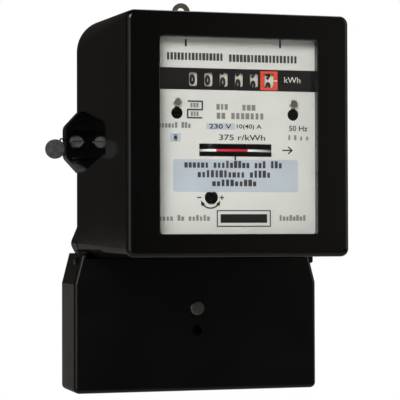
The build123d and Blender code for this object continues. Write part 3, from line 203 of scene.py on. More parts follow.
def spread(
    tree: bpy.types.NodeTree, factor: bpy.types.NodeSocket, low: float, high: float
) -> bpy.types.NodeSocket:
    """Stretch a noise factor, which keeps near its middle, to a range of values."""
    return ramp(tree, factor, NOISE_LOW, NOISE_HIGH, low, high)


def two_tone(
    tree: bpy.types.NodeTree, factor: bpy.types.NodeSocket, first: str, second: str
) -> bpy.types.NodeSocket:
    """Mix two hex colours by a factor."""
    mix = add_node(tree, "ShaderNodeMix", data_type="RGBA")
    tree.links.new(factor, mix.inputs["Factor"])
    mix.inputs[MIX_FIRST].default_value = linear(first)
    mix.inputs[MIX_SECOND].default_value = linear(second)
    return mix.outputs[MIX_RESULT]


def tint(
    tree: bpy.types.NodeTree,
    surface: bpy.types.Node,
    factor: bpy.types.NodeSocket,
    first: str,
    second: str,
) -> None:
    """Colour a surface with two hex colours, mixed by a factor."""
    tree.links.new(two_tone(tree, factor, first, second), surface.inputs["Base Color"])


def dull(
    tree: bpy.types.NodeTree,
    surface: bpy.types.Node,
    factor: bpy.types.NodeSocket,
    low: float,
    high: float,
) -> None:
    """Run a surface's roughness over a range by a noise factor."""
    tree.links.new(spread(tree, factor, low, high), surface.inputs["Roughness"])


def bump(
    tree: bpy.types.NodeTree,
    surface: bpy.types.Node,
    height: bpy.types.NodeSocket,
    depth_mm: float,
) -> None:
    """Shape a surface by a height, whose full range is a depth in millimetres."""
    inputs = {"Height": height, "Distance": depth_mm * MM, "Strength": 1.0}
    node = add_node(tree, "ShaderNodeBump", inputs)
    tree.links.new(node.outputs["Normal"], surface.inputs["Normal"])


@dataclass(frozen=True)
class Finish:
    """One finish of the meter: a plain surface that its kinds build on."""

    name: str
    colour: str
    roughness: float
    metallic: float = 0.0
    ior: float = 1.5

    def material(self) -> bpy.types.Material:
        """Build the finish's material, or return the one built before."""
        known = bpy.data.materials.get(self.name)
        if known is not None:
            return known
        material = bpy.data.materials.new(self.name)
        material.use_nodes = True
        tree = material.node_tree
        tree.nodes.clear()
        inputs = {
            "Base Color": linear(self.colour),
            "Roughness": self.roughness,
            "Metallic": self.metallic,
            "IOR": self.ior,
        }
        surface = add_node(tree, "ShaderNodeBsdfPrincipled", inputs)
        self.dress(tree, surface)
        add_node(tree, "ShaderNodeOutputMaterial", {"Surface": surface.outputs["BSDF"]})
        return material

    def dress(self, tree: bpy.types.NodeTree, surface: bpy.types.Node) -> None:
        """Add what the finish has beyond its plain colour."""


@dataclass(frozen=True)
class MouldedPhenolic(Finish):
    """Compression-moulded phenolic resin: filler flecks under a polished, rippled skin."""

    fleck_colour: str = "#110F0E"
    fleck_mm: float = 0.8
    patch_mm: float = 27.0
    ripple_mm: float = 9.0
    ripple_depth_mm: float = 0.02
    grain_mm: float = 0.5
    grain_depth_mm: float = 0.004
    haze: float = 0.08

    def dress(self, tree: bpy.types.NodeTree, surface: bpy.types.Node) -> None:
        """Fleck the colour, haze the gloss in patches and ripple the skin."""
        flecks = spread(tree, noise(tree, (self.fleck_mm,) * 3, 2.0), 0.0, 1.0)
        tint(tree, surface, flecks, self.colour, self.fleck_colour)
        patches = noise(tree, (self.patch_mm,) * 3)
        dull(tree, surface, patches, self.roughness, self.roughness + self.haze)
        ripple = noise(tree, (self.ripple_mm,) * 3, 1.0)
        share = self.grain_depth_mm / self.ripple_depth_mm
        grain = noise(tree, (self.grain_mm,) * 3, 1.0)
        height = maths(tree, "MULTIPLY_ADD", grain, share, ripple)
        bump(tree, surface, height, self.ripple_depth_mm)


@dataclass(frozen=True)
class WorkedMetal(Finish):
    """Metal with a directional grain, as drawing, rolling, turning or milling leaves it."""

    shade: str = "#8E8C86"
    grain_mm: tuple[float, float, float] = (0.15, 4.0, 4.0)
    depth_mm: float = 0.004
    stain_mm: float = 3.0
    sheen: Point = (0.75, 1.3)

    def dress(self, tree: bpy.types.NodeTree, surface: bpy.types.Node) -> None:
        """Stain the colour softly and run fine grain lines across the gloss."""
        stains = spread(tree, noise(tree, (self.stain_mm,) * 3), 0.0, 1.0)
        tint(tree, surface, stains, self.colour, self.shade)
        grain = noise(tree, self.grain_mm, 2.0)
        low, high = self.sheen
        dull(tree, surface, grain, self.roughness * low, self.roughness * high)
        bump(tree, surface, grain, self.depth_mm)


@dataclass(frozen=True)
class PressedLead(Finish):
    """Soft lead squeezed in a press: dull, dented and darkened in its hollows."""

    hollow: str = "#4A4A48"
    dent_mm: float = 1.6
    depth_mm: float = 0.12

    def dress(self, tree: bpy.types.NodeTree, surface: bpy.types.Node) -> None:
        """Darken the hollows and dent the face."""
        dents = noise(tree, (self.dent_mm,) * 3, 4.0)
        shade = spread(tree, dents, 0.0, 1.0)
        tint(tree, surface, shade, self.hollow, self.colour)
        bump(tree, surface, dents, self.depth_mm)


@dataclass(frozen=True)
class SheetStack(Finish):
    """Cores and windings: one line for each sheet or turn, at its real pitch."""

    line: str = "#2B2B2C"
    pitch_mm: float = 0.5
    axis: str = "Y"
    waver: float = 0.4
    depth_mm: float = 0.05

    def dress(self, tree: bpy.types.NodeTree, surface: bpy.types.Node) -> None:
        """Draw the edges of the sheets, or the turns, as fine ridges."""
        wave = add_node(
            tree,
            "ShaderNodeTexWave",
            {
                "Vector": pattern_place(tree, (1.0, 1.0, 1.0)),
                "Scale": WAVE_PERIOD / self.pitch_mm,
                "Distortion": self.waver,
            },
            wave_type="BANDS",
            bands_direction=self.axis,
        )
        ridges = wave.outputs["Fac"]
        tint(tree, surface, ridges, self.line, self.colour)
        bump(tree, surface, ridges, self.depth_mm)


@dataclass(frozen=True)
class FineCoat(Finish):
    """Enamel, ink, plain plastic or rubber: an even colour with a slight tooth."""

    shade: str = "#C8C9C8"
    patch_mm: float = 14.0
    tooth_mm: float = 0.35
    depth_mm: float = 0.003
    sheen: Point = (0.9, 1.1)

    def dress(self, tree: bpy.types.NodeTree, surface: bpy.types.Node) -> None:
        """Vary the colour in broad soft patches and give the coat its tooth."""
        patches = spread(tree, noise(tree, (self.patch_mm,) * 3), 0.0, 1.0)
        tint(tree, surface, patches, self.colour, self.shade)
        tooth = noise(tree, (self.tooth_mm,) * 3, 2.0)
        low, high = self.sheen
        dull(tree, surface, tooth, self.roughness * low, self.roughness * high)
        bump(tree, surface, tooth, self.depth_mm)


@dataclass(frozen=True)
class LitBoard(FineCoat):
    """Translucent studio board, lit evenly from below."""

    glow: float = 0.6

    def dress(self, tree: bpy.types.NodeTree, surface: bpy.types.Node) -> None:
        """Coat the board and let it glow."""
        super().dress(tree, surface)
        surface.inputs["Emission Color"].default_value = linear(self.colour)
        surface.inputs["Emission Strength"].default_value = self.glow


@dataclass(frozen=True)
class FloatGlass(Finish):
    """Clear float glass: flat, colourless and smooth on both faces."""

    def dress(self, tree: bpy.types.NodeTree, surface: bpy.types.Node) -> None:
        """Let the light through."""
        surface.inputs["Transmission Weight"].default_value = 1.0


@dataclass(frozen=True)
class SpunDisc(Finish):
    """Aluminium disc whose rim is painted white as a painted highlight of its lit edge, with one
    red mark on it.
    """

    # White of the rim: a painted highlight standing for the lit aluminium edge
    rim: str = "#F2F2EE"
    mark: str = "#C8243C"
    centre_mm: Point = (0.0, -58.5)
    rim_radius_mm: float = 42.6
    mark_middle_deg: float = -1.8
    mark_half_deg: float = 11.0
    ring_pitch_mm: float = 1.2
    ring_depth_mm: float = 0.004

    def dress(self, tree: bpy.types.NodeTree, surface: bpy.types.Node) -> None:
        """Paint the rim white as a painted highlight, paint its mark, and leave turning rings on
        the faces.
        """
        place = add_node(tree, "ShaderNodeTexCoord")
        centre = (self.centre_mm[0] * MM, self.centre_mm[1] * MM, 0.0)
        inputs = {0: place.outputs["Object"], 1: centre}
        arm = add_node(tree, "ShaderNodeVectorMath", inputs, operation="SUBTRACT")
        part = add_node(tree, "ShaderNodeSeparateXYZ", {0: arm.outputs[0]})
        across, inward = part.outputs["X"], part.outputs["Y"]
        inputs = {"X": across, "Y": inward, "Z": 0.0}
        flat = add_node(tree, "ShaderNodeCombineXYZ", inputs).outputs[0]
        length = add_node(tree, "ShaderNodeVectorMath", {0: flat}, operation="LENGTH")
        radius = length.outputs["Value"]
        # Beyond this radius the disc is painted white and not metallic: a painted highlight of
        # its lit edge
        on_highlight_rim = maths(tree, "GREATER_THAN", radius, self.rim_radius_mm * MM)

        turn = maths(tree, "ARCTAN2", across, maths(tree, "MULTIPLY", inward, -1.0))
        away = maths(tree, "SUBTRACT", turn, math.radians(self.mark_middle_deg))
        size = maths(tree, "ABSOLUTE", away)
        marked = maths(tree, "LESS_THAN", size, math.radians(self.mark_half_deg))

        mix = add_node(tree, "ShaderNodeMix", {"Factor": on_highlight_rim}, data_type="RGBA")
        mix.inputs[MIX_FIRST].default_value = linear(self.colour)
        tree.links.new(two_tone(tree, marked, self.rim, self.mark), mix.inputs[MIX_SECOND])
        tree.links.new(mix.outputs[MIX_RESULT], surface.inputs["Base Color"])
        tree.links.new(maths(tree, "SUBTRACT", 1.0, on_highlight_rim), surface.inputs["Metallic"])
        rings = add_node(
            tree,
            "ShaderNodeTexWave",
            {"Vector": flat, "Scale": WAVE_PERIOD / (self.ring_pitch_mm * MM)},
            wave_type="RINGS",
            rings_direction="Z",
        )
        bump(tree, surface, rings.outputs["Fac"], self.ring_depth_mm)


class Finishes(Enum):
    """Every finish of the meter, named for the real material."""

    # Polished mould: near-black with brown filler flecks and mirror-like broad faces
    CASE = MouldedPhenolic(
        "polished_black_phenolic", "#050505", 0.08, haze=0.05, fleck_colour="#0C0B0A"
    )
    # The terminal cover came from a blunter mould, so it mirrors less
    COVER = MouldedPhenolic(
        "satin_black_phenolic", "#050505", 0.19, haze=0.08, fleck_colour="#090909"
    )
    # Inner moulding that was never polished
    BLOCK = MouldedPhenolic("raw_black_phenolic", "#121110", 0.42, fleck_colour="#241D17")
    # Nickel plate over turned steel: warm silver, lightly worn
    NICKEL = WorkedMetal(
        "nickel_plated_steel", "#DAD7CE", 0.34, 1.0, shade="#C4C0B5", stain_mm=5.0
    )
    # Nickel-plated screw steel painted a darker grey for the ear and terminal cover screws:
    # painted shade, as these screws catch less light than the dial screws
    GREY_STEEL = WorkedMetal(
        "nickel_screw_painted_shade", "#8F8F8D", 0.36, 1.0, shade="#7B7B79", stain_mm=6.0
    )
    # Bright zinc on rolled sheet: cooler and duller than nickel
    ZINC = WorkedMetal("zinc_plated_sheet", "#B4B7B9", 0.38, 1.0, shade="#8D9092")
    # Yellow-passivated zinc, browned by age
    AGED_ZINC = WorkedMetal("aged_zinc_plate", "#A09684", 0.4, 1.0, shade="#857B69")
    # Drawn steel rod with lengthwise lines
    STEEL = WorkedMetal("bright_drawn_steel", "#BFC0C2", 0.22, 1.0, shade="#9C9DA0")
    # Turned or milled free-cutting brass
    BRASS = WorkedMetal("machined_brass", "#C9A455", 0.25, 1.0, shade="#A98238")
    # Brass painted near black: painted shade for the eyelet deep in the sealing hole and the
    # adjuster seen through the dial's hole
    DARK_BRASS = WorkedMetal("brass_painted_hole_shade", "#26221E", 0.3, 1.0, shade="#1A1815")
    # Pressure die-cast aluminium alloy, grey and slightly grainy
    CASTING = WorkedMetal(
        "die_cast_aluminium", "#9A9DA1", 0.48, 1.0, shade="#83868A", grain_mm=(1.2,) * 3
    )
    # Cast magnet alloy: coarse grey skin
    MAGNET = WorkedMetal(
        "cast_magnet_alloy", "#6E7073", 0.6, 1.0, shade="#505255", grain_mm=(0.9,) * 3
    )
    # Pressed lead, oxidised to a dull mid grey
    LEAD = PressedLead("pressed_lead", "#646463", 0.6, 0.5, hollow="#404040")
    # Twisted sealing wire, coloured a dark grey and dull
    WIRE = WorkedMetal("dulled_sealing_wire", "#4A4947", 0.5, 1.0, shade="#393836")
    # Punched core sheets, their edges seen as fine lines
    CORE = SheetStack("laminated_core_steel", "#77797C", 0.5, 0.8)
    # Enamelled copper wire, one ridge a turn
    COPPER = SheetStack(
        "enamelled_copper_turns", "#B5643A", 0.3, 0.7, line="#5A2C17", pitch_mm=0.9, axis="Z"
    )
    # Varnished cotton tape over the winding
    TAPE = SheetStack(
        "varnished_coil_tape", "#6E4C27", 0.5, line="#4A3118", pitch_mm=2.4, axis="Z"
    )
    # Stoved enamel on the dial sheet: pale, faintly warm grey
    DIAL = FineCoat("stoved_dial_enamel", "#D8D9D2", 0.35, shade="#D3D4CD")
    # Screen-printed inks
    BLACK_INK = FineCoat("black_screen_ink", "#0D0C0B", 0.3, shade="#12100E")
    SOFT_BLACK_INK = FineCoat("worn_black_screen_ink", "#343331", 0.35, shade="#3C3B38")
    GREY_INK = FineCoat("thin_black_screen_ink", "#7A7974", 0.35, shade="#84837E")
    WHITE_INK = FineCoat("white_screen_ink", "#DEDDD6", 0.35, shade="#D2D1CB")
    RED_INK = FineCoat("red_screen_ink", "#E04C38", 0.35, shade="#D44430")
    # Blue-grey adhesive paper
    PAPER = FineCoat("blue_grey_label_paper", "#BAC3CA", 0.55, shade="#B3BCC4", tooth_mm=0.2)
    # Off-white moulded drums and their dark hot-stamped numerals
    DRUM = FineCoat("ivory_moulded_styrene", "#D8D5C6", 0.38, shade="#CECBBB")
    NUMERAL = FineCoat("dark_numeral_foil", "#1C1A18", 0.4, shade="#262320")
    # Natural nylon, waxy and a little translucent to the eye
    NYLON = FineCoat("natural_nylon", "#DDD8C8", 0.4, shade="#D2CCBA", ior=1.53)
    RUBBER = FineCoat("black_rubber", "#141414", 0.7, shade="#1A1A1A", ior=1.52)
    GLASS = FloatGlass("clear_float_glass", "#FFFFFF", 0.0, ior=1.52)
    DISC = SpunDisc("spun_aluminium_disc", "#C9CBCD", 0.3, 1.0)
    FLOOR = LitBoard(
        "pale_studio_board", "#F1F1F0", 0.8, shade="#EEEEED", patch_mm=400.0, tooth_mm=3.0
    )


SLOT_FINISHES: dict[str, Finishes] = {
    "case_black": Finishes.CASE,
    "cover_black": Finishes.COVER,
    "block_black": Finishes.BLOCK,
    "plated_steel": Finishes.ZINC,
    "nickel_screw": Finishes.NICKEL,
    "rubber_black": Finishes.RUBBER,
    "window_glass": Finishes.GLASS,
    "seal_lead": Finishes.LEAD,
    "seal_wire": Finishes.WIRE,
    # The sealing eyelet takes brass painted near black: painted shade of its hole
    "dark_eyelet": Finishes.DARK_BRASS,
    "brass": Finishes.BRASS,
    "dial_white": Finishes.DIAL,
    "frame_metal": Finishes.CASTING,
    "core_steel": Finishes.CORE,
    "coil_wrap": Finishes.TAPE,
    "coil_copper": Finishes.COPPER,
    "magnet_grey": Finishes.MAGNET,
    "disc_aluminium": Finishes.DISC,
    "spindle_steel": Finishes.STEEL,
    "drum_white": Finishes.DRUM,
    "pinion_nylon": Finishes.NYLON,
}


def paint(piece: bpy.types.Object, finish: Finishes) -> None:
    """Give a piece one finish in all its material slots."""
    material = finish.value.material()
    if not piece.material_slots:
        piece.data.materials.append(material)
    for place in piece.material_slots:
        place.material = material


def new_piece(
    name: str, mesh: bpy.types.Mesh, finish: Finishes, body: str
) -> bpy.types.Object:
    """Add a mesh to the scene as a piece of the meter.

    Args:
        name: the piece's name.
        mesh: its mesh, in the meter's frame.
        finish: its finish.
        body: the body that it rides on.

    Returns:
        The new object.
    """
    piece = bpy.data.objects.new(name, mesh)
    bpy.context.scene.collection.objects.link(piece)
    paint(piece, finish)
    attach(piece, body)
    log.info("%s: %d faces on %s", name, len(mesh.polygons), body)
    return piece


def bar(x: float, z: float, width: float, height: float) -> Outline:
    """Outline of an upright rectangle by its centre and size, in millimetres."""
    left, right = x - width / 2, x + width / 2
    low, high = z - height / 2, z + height / 2
    return [(left, low), (right, low), (right, high), (left, high)]


def window_frame(x: float, z: float, outer: Point, inner: Point) -> list[Outline]:
    """Four bars round a rectangular opening.

    Args:
        x: the centre's place across.
        z: the centre's height.
        outer: width and height outside.
        inner: width and height of the opening.

    Returns:
        The outlines of the two full-width bars and the two side bars.
    """
    side = (outer[0] - inner[0]) / 2
    rail = (outer[1] - inner[1]) / 2
    outlines = []
    for sign in (-1, 1):
        outlines.append(bar(x, z + sign * (inner[1] + rail) / 2, outer[0], rail))
        outlines.append(bar(x + sign * (inner[0] + side) / 2, z, side, inner[1]))
    return outlines


def rounded(x: float, z: float, width: float, height: float, radius: float) -> Outline:
    """Outline of a rectangle with round corners."""
    outline = []
    for corner, (side, rise) in enumerate(CORNERS):
        middle_x = x + side * (width / 2 - radius)
        middle_z = z + rise * (height / 2 - radius)
        for step in range(CORNER_STEPS + 1):
            angle = math.radians(90 * (corner + step / CORNER_STEPS))
            spot_x = middle_x + radius * math.cos(angle)
            outline.append((spot_x, middle_z + radius * math.sin(angle)))
    return outline


def corner_fills(x: float, z: float, width: float, height: float, radius: float) -> list[Outline]:
    """Four fills that round the inner corners of a rectangular opening."""
    outline = rounded(x, z, width, height, radius)
    share = len(outline) // len(CORNERS)
    fills = []
    for i, (side, rise) in enumerate(CORNERS):
        tip = (x + side * width / 2, z + rise * height / 2)
        fills.append([tip] + outline[i * share : (i + 1) * share][::-1])
    return fills


def arc_band(
    x: float, z: float, radius: float, width: float, start: float, end: float
) -> Outline:
    """Outline of a curved line of even width, between two angles in degrees."""
    shares = [step / ARC_STEPS for step in range(ARC_STEPS + 1)]
    angles = [math.radians(start + (end - start) * share) for share in shares]
    edges = []
    for reach in (radius + width / 2, radius - width / 2):
        edges.append([(x + reach * math.cos(a), z + reach * math.sin(a)) for a in angles])
    return edges[0] + edges[1][::-1]


def arrow_head(x: float, z: float, length: float, width: float, angle: float) -> Outline:
    """Solid arrow head whose tip lies at a point and points along an angle in degrees."""
    ahead = Vector((math.cos(math.radians(angle)), math.sin(math.radians(angle))))
    aside = Vector((-ahead.y, ahead.x))
    tip = Vector((x, z))
    back = tip - ahead * length
    return [tuple(tip), tuple(back + aside * width / 2), tuple(back - aside * width / 2)]


def stroke(start: Point, end: Point, width: float) -> Outline:
    """Outline of a straight line of even width."""
    a, b = Vector(start), Vector(end)
    ahead = (b - a).normalized()
    aside = Vector((-ahead.y, ahead.x)) * width / 2
    return [tuple(a + aside), tuple(a - aside), tuple(b - aside), tuple(b + aside)]


def flat_print(
    outlines: Iterable[Outline], depth_mm: float, thickness_mm: float, name: str
) -> bpy.types.Mesh:
    """Build a print layer that stands on a plane facing the front.

    Args:
        outlines: closed outlines in millimetres, X and Z.
        depth_mm: how far the layer's back lies in front of the wall.
        thickness_mm: the layer's thickness.
        name: the mesh's name.

    Returns:
        A mesh of closed slabs.
    """
    shape = bmesh.new()
    back_y, front_y = -depth_mm * MM, -(depth_mm + thickness_mm) * MM
    for outline in outlines:
        back = [shape.verts.new((x * MM, back_y, z * MM)) for x, z in outline]
        front = [shape.verts.new((x * MM, front_y, z * MM)) for x, z in outline]
        shape.faces.new(back)
        shape.faces.new(front[::-1])
        count = len(outline)
        for i in range(count):
            j = (i + 1) % count
            shape.faces.new((back[j], back[i], front[i], front[j]))
    bmesh.ops.recalc_face_normals(shape, faces=shape.faces)
    mesh = bpy.data.meshes.new(name)
    shape.to_mesh(mesh)
    shape.free()
    return mesh


def glyph_mesh(text: str, width: float, height: float, bold: float) -> bpy.types.Mesh:
    """Build flat lettering that fills a box, centred on the origin.

    Args:
        text: the characters.
        width: the box's width in millimetres.
        height: the box's height in millimetres.
        bold: how far each stroke swells, as a share of the letter size.

    Returns:
        A flat mesh in X and Y, in metres.
    """
    curve = bpy.data.curves.new("lettering", "FONT")
    curve.body = text
    curve.offset = bold
    curve.resolution_u = LETTER_STEPS
    holder = bpy.data.objects.new("lettering", curve)
    bpy.context.scene.collection.objects.link(holder)
    bpy.context.view_layer.update()
    graph = bpy.context.evaluated_depsgraph_get()
    mesh = bpy.data.meshes.new_from_object(holder.evaluated_get(graph))
    bpy.data.objects.remove(holder)
    bpy.data.curves.remove(curve)
    xs = [v.co.x for v in mesh.vertices]
    ys = [v.co.y for v in mesh.vertices]
    middle = Vector(((min(xs) + max(xs)) / 2, (min(ys) + max(ys)) / 2, 0))
    scale = Vector((width * MM / (max(xs) - min(xs)), height * MM / (max(ys) - min(ys)), 1))
    for vertex in mesh.vertices:
        vertex.co = (vertex.co - middle) * scale
    return mesh


@dataclass(frozen=True)
class PrintLine:
    """One line of small print, drawn as plain blocks where letters would be.

    It runs from left to right at a height, with the letters' size and words of so many
    letters. The seed sets the blocks' widths and heights.
    """

    left: float
    right: float
    height_mm: float
    size: float
    words: tuple[int, ...]
    seed: int
    capitals: bool = False
    heights: tuple[float, ...] = (0.74, 0.74, 1.0)
    widths: Point = (0.55, 0.82)

    def outlines(self) -> list[Outline]:
        """Work out the blocks: one for each letter's place, with gaps between words."""
        dice = random.Random(self.seed)
        letters = sum(self.words)
        gaps = len(self.words) - 1
        pitch = (self.right - self.left) / (letters + gaps)
        x = self.left + pitch / 2
        foot = self.height_mm - self.size / 2
        blocks = []
        for word in self.words:
            for _ in range(word):
                tall = self.size * (1.0 if self.capitals else dice.choice(self.heights))
                wide = pitch * dice.uniform(*self.widths)
                blocks.append(bar(x, foot + tall / 2, wide, tall))
                x += pitch
            x += pitch
        return blocks


@dataclass
class Dial:
    """The printed sheet behind the window: its fields, marks, arrows and small print."""

    front: float = 102.8
    layer: float = 0.03
    window_left: float = -43.6
    window_right: float = 43.6
    band_top: float = -41.7
    band_bottom: float = -52.6
    red_x: float = DRUM_XS[-1]
    number_z: float = DRUM_Z
    number_xs: tuple[float, ...] = DRUM_XS[:-1]
    number_size: Point = (4.1, 6.9)
    number_corner: float = 1.1
    red_outer: Point = (9.2, 9.6)
    red_inner: Point = (4.9, 6.9)
    tick_size: Point = (1.9, 0.5)
    adjuster: Point = (-12.8, -106.6)
    adjuster_arc: float = 5.3
    sign_reach: float = 5.9
    sign_size: Point = (2.3, 0.6)
    head_size: Point = (2.6, 2.2)
    thin_line: float = 0.65
    thick_line: float = 0.75
    eye: Point = (-30.9, -76.7)
    foot: Point = (4.7, -117.1)
    letter_level: float = 2.6
    # The print was struck slightly to the left of the sheet's holes
    print_shift: float = -0.5

    def build(self) -> None:
        """Print every layer of the dial."""
        self.print_band()
        self.print_numbers()
        self.print_labels()
        self.print_marks()
        self.print_lines()
        self.print_frame()

    def lay(
        self, name: str, outlines: Iterable[Outline], finish: Finishes, level: int = 0
    ) -> None:
        """Lay one print layer on the sheet.

        Args:
            name: the piece's name.
            outlines: what it prints.
            finish: its ink or paper.
            level: how many layers lie under it.
        """
        depth = self.front + level * self.layer
        mesh = flat_print(outlines, depth, self.layer, name)
        new_piece(name, mesh, finish, METER)

    def lay_struck(
        self, name: str, outlines: Iterable[Outline], finish: Finishes, level: int = 0
    ) -> None:
        """Lay a print layer off the sheet's holes, as it was struck."""
        moved = [[(x + self.print_shift, z) for x, z in outline] for outline in outlines]
        self.lay(name, moved, finish, level)

    def print_band(self) -> None:
        """Print the black counter band round the number windows, and the red surround."""
        left, right, middle = self.window_left, self.window_right, self.number_z
        top, bottom = self.band_top, self.band_bottom
        width, height = self.number_size
        win_top, win_bottom = middle + height / 2, middle - height / 2
        centre = (left + right) / 2
        outlines = [
            bar(centre, (top + win_top) / 2, right - left, top - win_top),
            bar(centre, (bottom + win_bottom) / 2, right - left, win_bottom - bottom),
        ]
        openings = [(x, width) for x in self.number_xs] + [(self.red_x, self.red_inner[0])]
        edge = left
        for x, wide in openings:
            outlines.append(bar((edge + x - wide / 2) / 2, middle, x - wide / 2 - edge, height))
            edge = x + wide / 2
        outlines.append(bar((edge + right) / 2, middle, right - edge, height))
        for x, wide in openings:
            outlines += corner_fills(x, middle, wide, height, self.number_corner)
        self.lay("counter_band", outlines, Finishes.BLACK_INK)
        frame_bars = window_frame(self.red_x, middle, self.red_outer, self.red_inner)
        self.lay("red_surround", frame_bars, Finishes.RED_INK, 1)
        tick_x = self.red_x + (self.red_inner[0] + self.red_outer[0]) / 4
        self.lay("tenth_tick", [bar(tick_x, middle, *self.tick_size)], Finishes.WHITE_INK, 2)

    def letter(
        self, name: str, words: str, middle: Point, size: Point, finish: Finishes, bold: float
    ) -> None:
        """Print plain numbers or a unit.

        Args:
            name: the piece's name.
            words: the characters.
            middle: the print's centre.
            size: its width and height.
            finish: its ink.
            bold: how far each stroke swells, as a share of the letter size.
        """
        mesh = glyph_mesh(words, *size, bold)
        depth = self.front + self.letter_level * self.layer
        place = Matrix.Translation((middle[0] * MM, -depth * MM, middle[1] * MM))
        mesh.transform(place @ Matrix.Rotation(math.radians(90), 4, "X"))
        new_piece(name, mesh, finish, METER)

    def print_numbers(self) -> None:
        """Print the unit of the counter and the plain ratings."""
        white, black = Finishes.WHITE_INK, Finishes.BLACK_INK
        self.letter("unit_letters", "kWh", (30.2, -46.7), (8.6, 2.9), white, 0.0)
        self.letter("voltage_number", "230 V", (-8.1, -70.8), (11.6, 2.4), black, 0.02)
        self.letter("current_number", "10(40) A", (7.1, -71.0), (13.2, 2.8), black, 0.02)
        self.letter("frequency_number", "50 Hz", (33.3, -71.3), (9.9, 2.8), black, 0.01)
        self.letter("turns_number", "375 r/kWh", (3.4, -76.3), (24.4, 2.9), black, 0.01)

    def print_labels(self) -> None:
        """Stick on the blue-grey labels."""
        labels = [
            rounded(0.7, -95.6, 65.8, 16.4, 1.2),
            bar(-7.4, -70.8, 15.0, 3.3),
            bar(*self.eye, 5.6, 4.3),
        ]
        self.lay_struck("paper_labels", labels, Finishes.PAPER)

    def print_marks(self) -> None:
        """Print ticks, arrows, signs and the two small symbols."""
        x, z = self.adjuster
        arc, reach = self.adjuster_arc, self.sign_reach
        long, thin = self.sign_size
        # The tips of the arc's two heads lie above its ends
        side, drop = arc * 0.95, arc * 0.28
        marks = [
            # Ticks: two at the top and the one under the disc slot
            bar(-25.5, -29.2, 1.0, 3.6),
            bar(24.2, -28.6, 1.0, 3.9),
            bar(0.2, -86.7, 0.9, 2.2),
            # Arrow that shows which way the disc turns
            stroke((25.2, -82.5), (30.2, -82.5), self.thin_line),
            stroke((28.4, -80.7), (30.6, -82.6), self.thin_line),
            stroke((28.4, -84.3), (30.6, -82.4), self.thin_line),
            # Minus, plus and the double arrow round the adjuster
            bar(x - reach, z, long, thin),
            bar(x + reach, z, long, thin),
            bar(x + reach, z, thin, long),
            arc_band(x, z, arc, self.thick_line, 215, 325),
            arrow_head(x - side, z - drop, *self.head_size, 118),
            arrow_head(x + side, z - drop, *self.head_size, 62),
        ]
        self.lay_struck("dial_marks", marks, Finishes.BLACK_INK, 1)
        left, right = -24.6, -17.0
        symbol = [
            stroke((left, -58.4), (right, -58.4), self.thick_line),
            stroke((right, -58.2), (right, -62.8), self.thick_line),
            stroke((left, -62.6), (right + 0.2, -62.6), self.thick_line),
            stroke((left, -62.4), (left, -66.9), self.thick_line),
            stroke((left - 0.2, -66.7), (right, -66.7), self.thick_line),
        ]
        self.lay_struck("dial_symbol", symbol, Finishes.BLACK_INK, 1)
        x, z = self.eye
        eye = [
            arc_band(x, z, 0.5, 0.9, 0, 359),
            arc_band(x, z - 0.3, 1.7, 0.4, 50, 130),
            arc_band(x, z + 0.3, 1.7, 0.4, 230, 310),
        ]
        self.lay_struck("label_symbol", eye, Finishes.BLACK_INK, 2)

    def print_lines(self) -> None:
        """Print the rows of small print as plain blocks."""
        bold = [
            PrintLine(-35.6, -6.0, -36.0, 3.7, (16,), 3, True),
            PrintLine(-3.2, 33.4, -36.3, 3.7, (19,), 5, True),
            PrintLine(-26.6, 25.2, -89.9, 3.6, (6, 9, 3, 3), 7),
            PrintLine(-19.8, 19.0, -94.7, 3.6, (11, 5), 9),
            PrintLine(-12.2, 11.6, -99.2, 3.3, (10,), 11),
        ]
        light = [
            PrintLine(-9.8, -3.4, -61.0, 2.9, (3,), 15, True),
            PrintLine(3.6, 11.2, -61.2, 2.9, (3,), 17, True),
            PrintLine(-9.8, 15.6, -65.5, 3.1, (2, 7), 19, True),
            PrintLine(-40.0, -22.9, -70.4, 2.9, (6, 3), 25),
            PrintLine(28.2, 39.4, -76.0, 2.6, (1, 1, 1, 1), 29),
            PrintLine(-23.4, -18.8, -60.4, 2.3, (3,), 35, True),
            PrintLine(-23.2, -18.8, -64.7, 2.3, (3,), 37, True),
            PrintLine(-39.8, -13.0, -116.8, 2.9, (4, 2, 6), 31),
            PrintLine(23.3, 37.8, -116.8, 2.9, (8,), 33),
        ]
        bold_blocks = [block for line in bold for block in line.outlines()]
        self.lay_struck("bold_lines", bold_blocks, Finishes.SOFT_BLACK_INK, 1)
        light_blocks = [block for line in light for block in line.outlines()]
        self.lay_struck("light_lines", light_blocks, Finishes.GREY_INK)

    def print_frame(self) -> None:
        """Print the plain ruled box at the foot of the dial."""
        box = window_frame(*self.foot, (28.6, 8.4), (27.5, 7.3))
        box.append(bar(*self.foot, 24.6, 4.4))
        self.lay_struck("foot_box", box, Finishes.BLACK_INK)


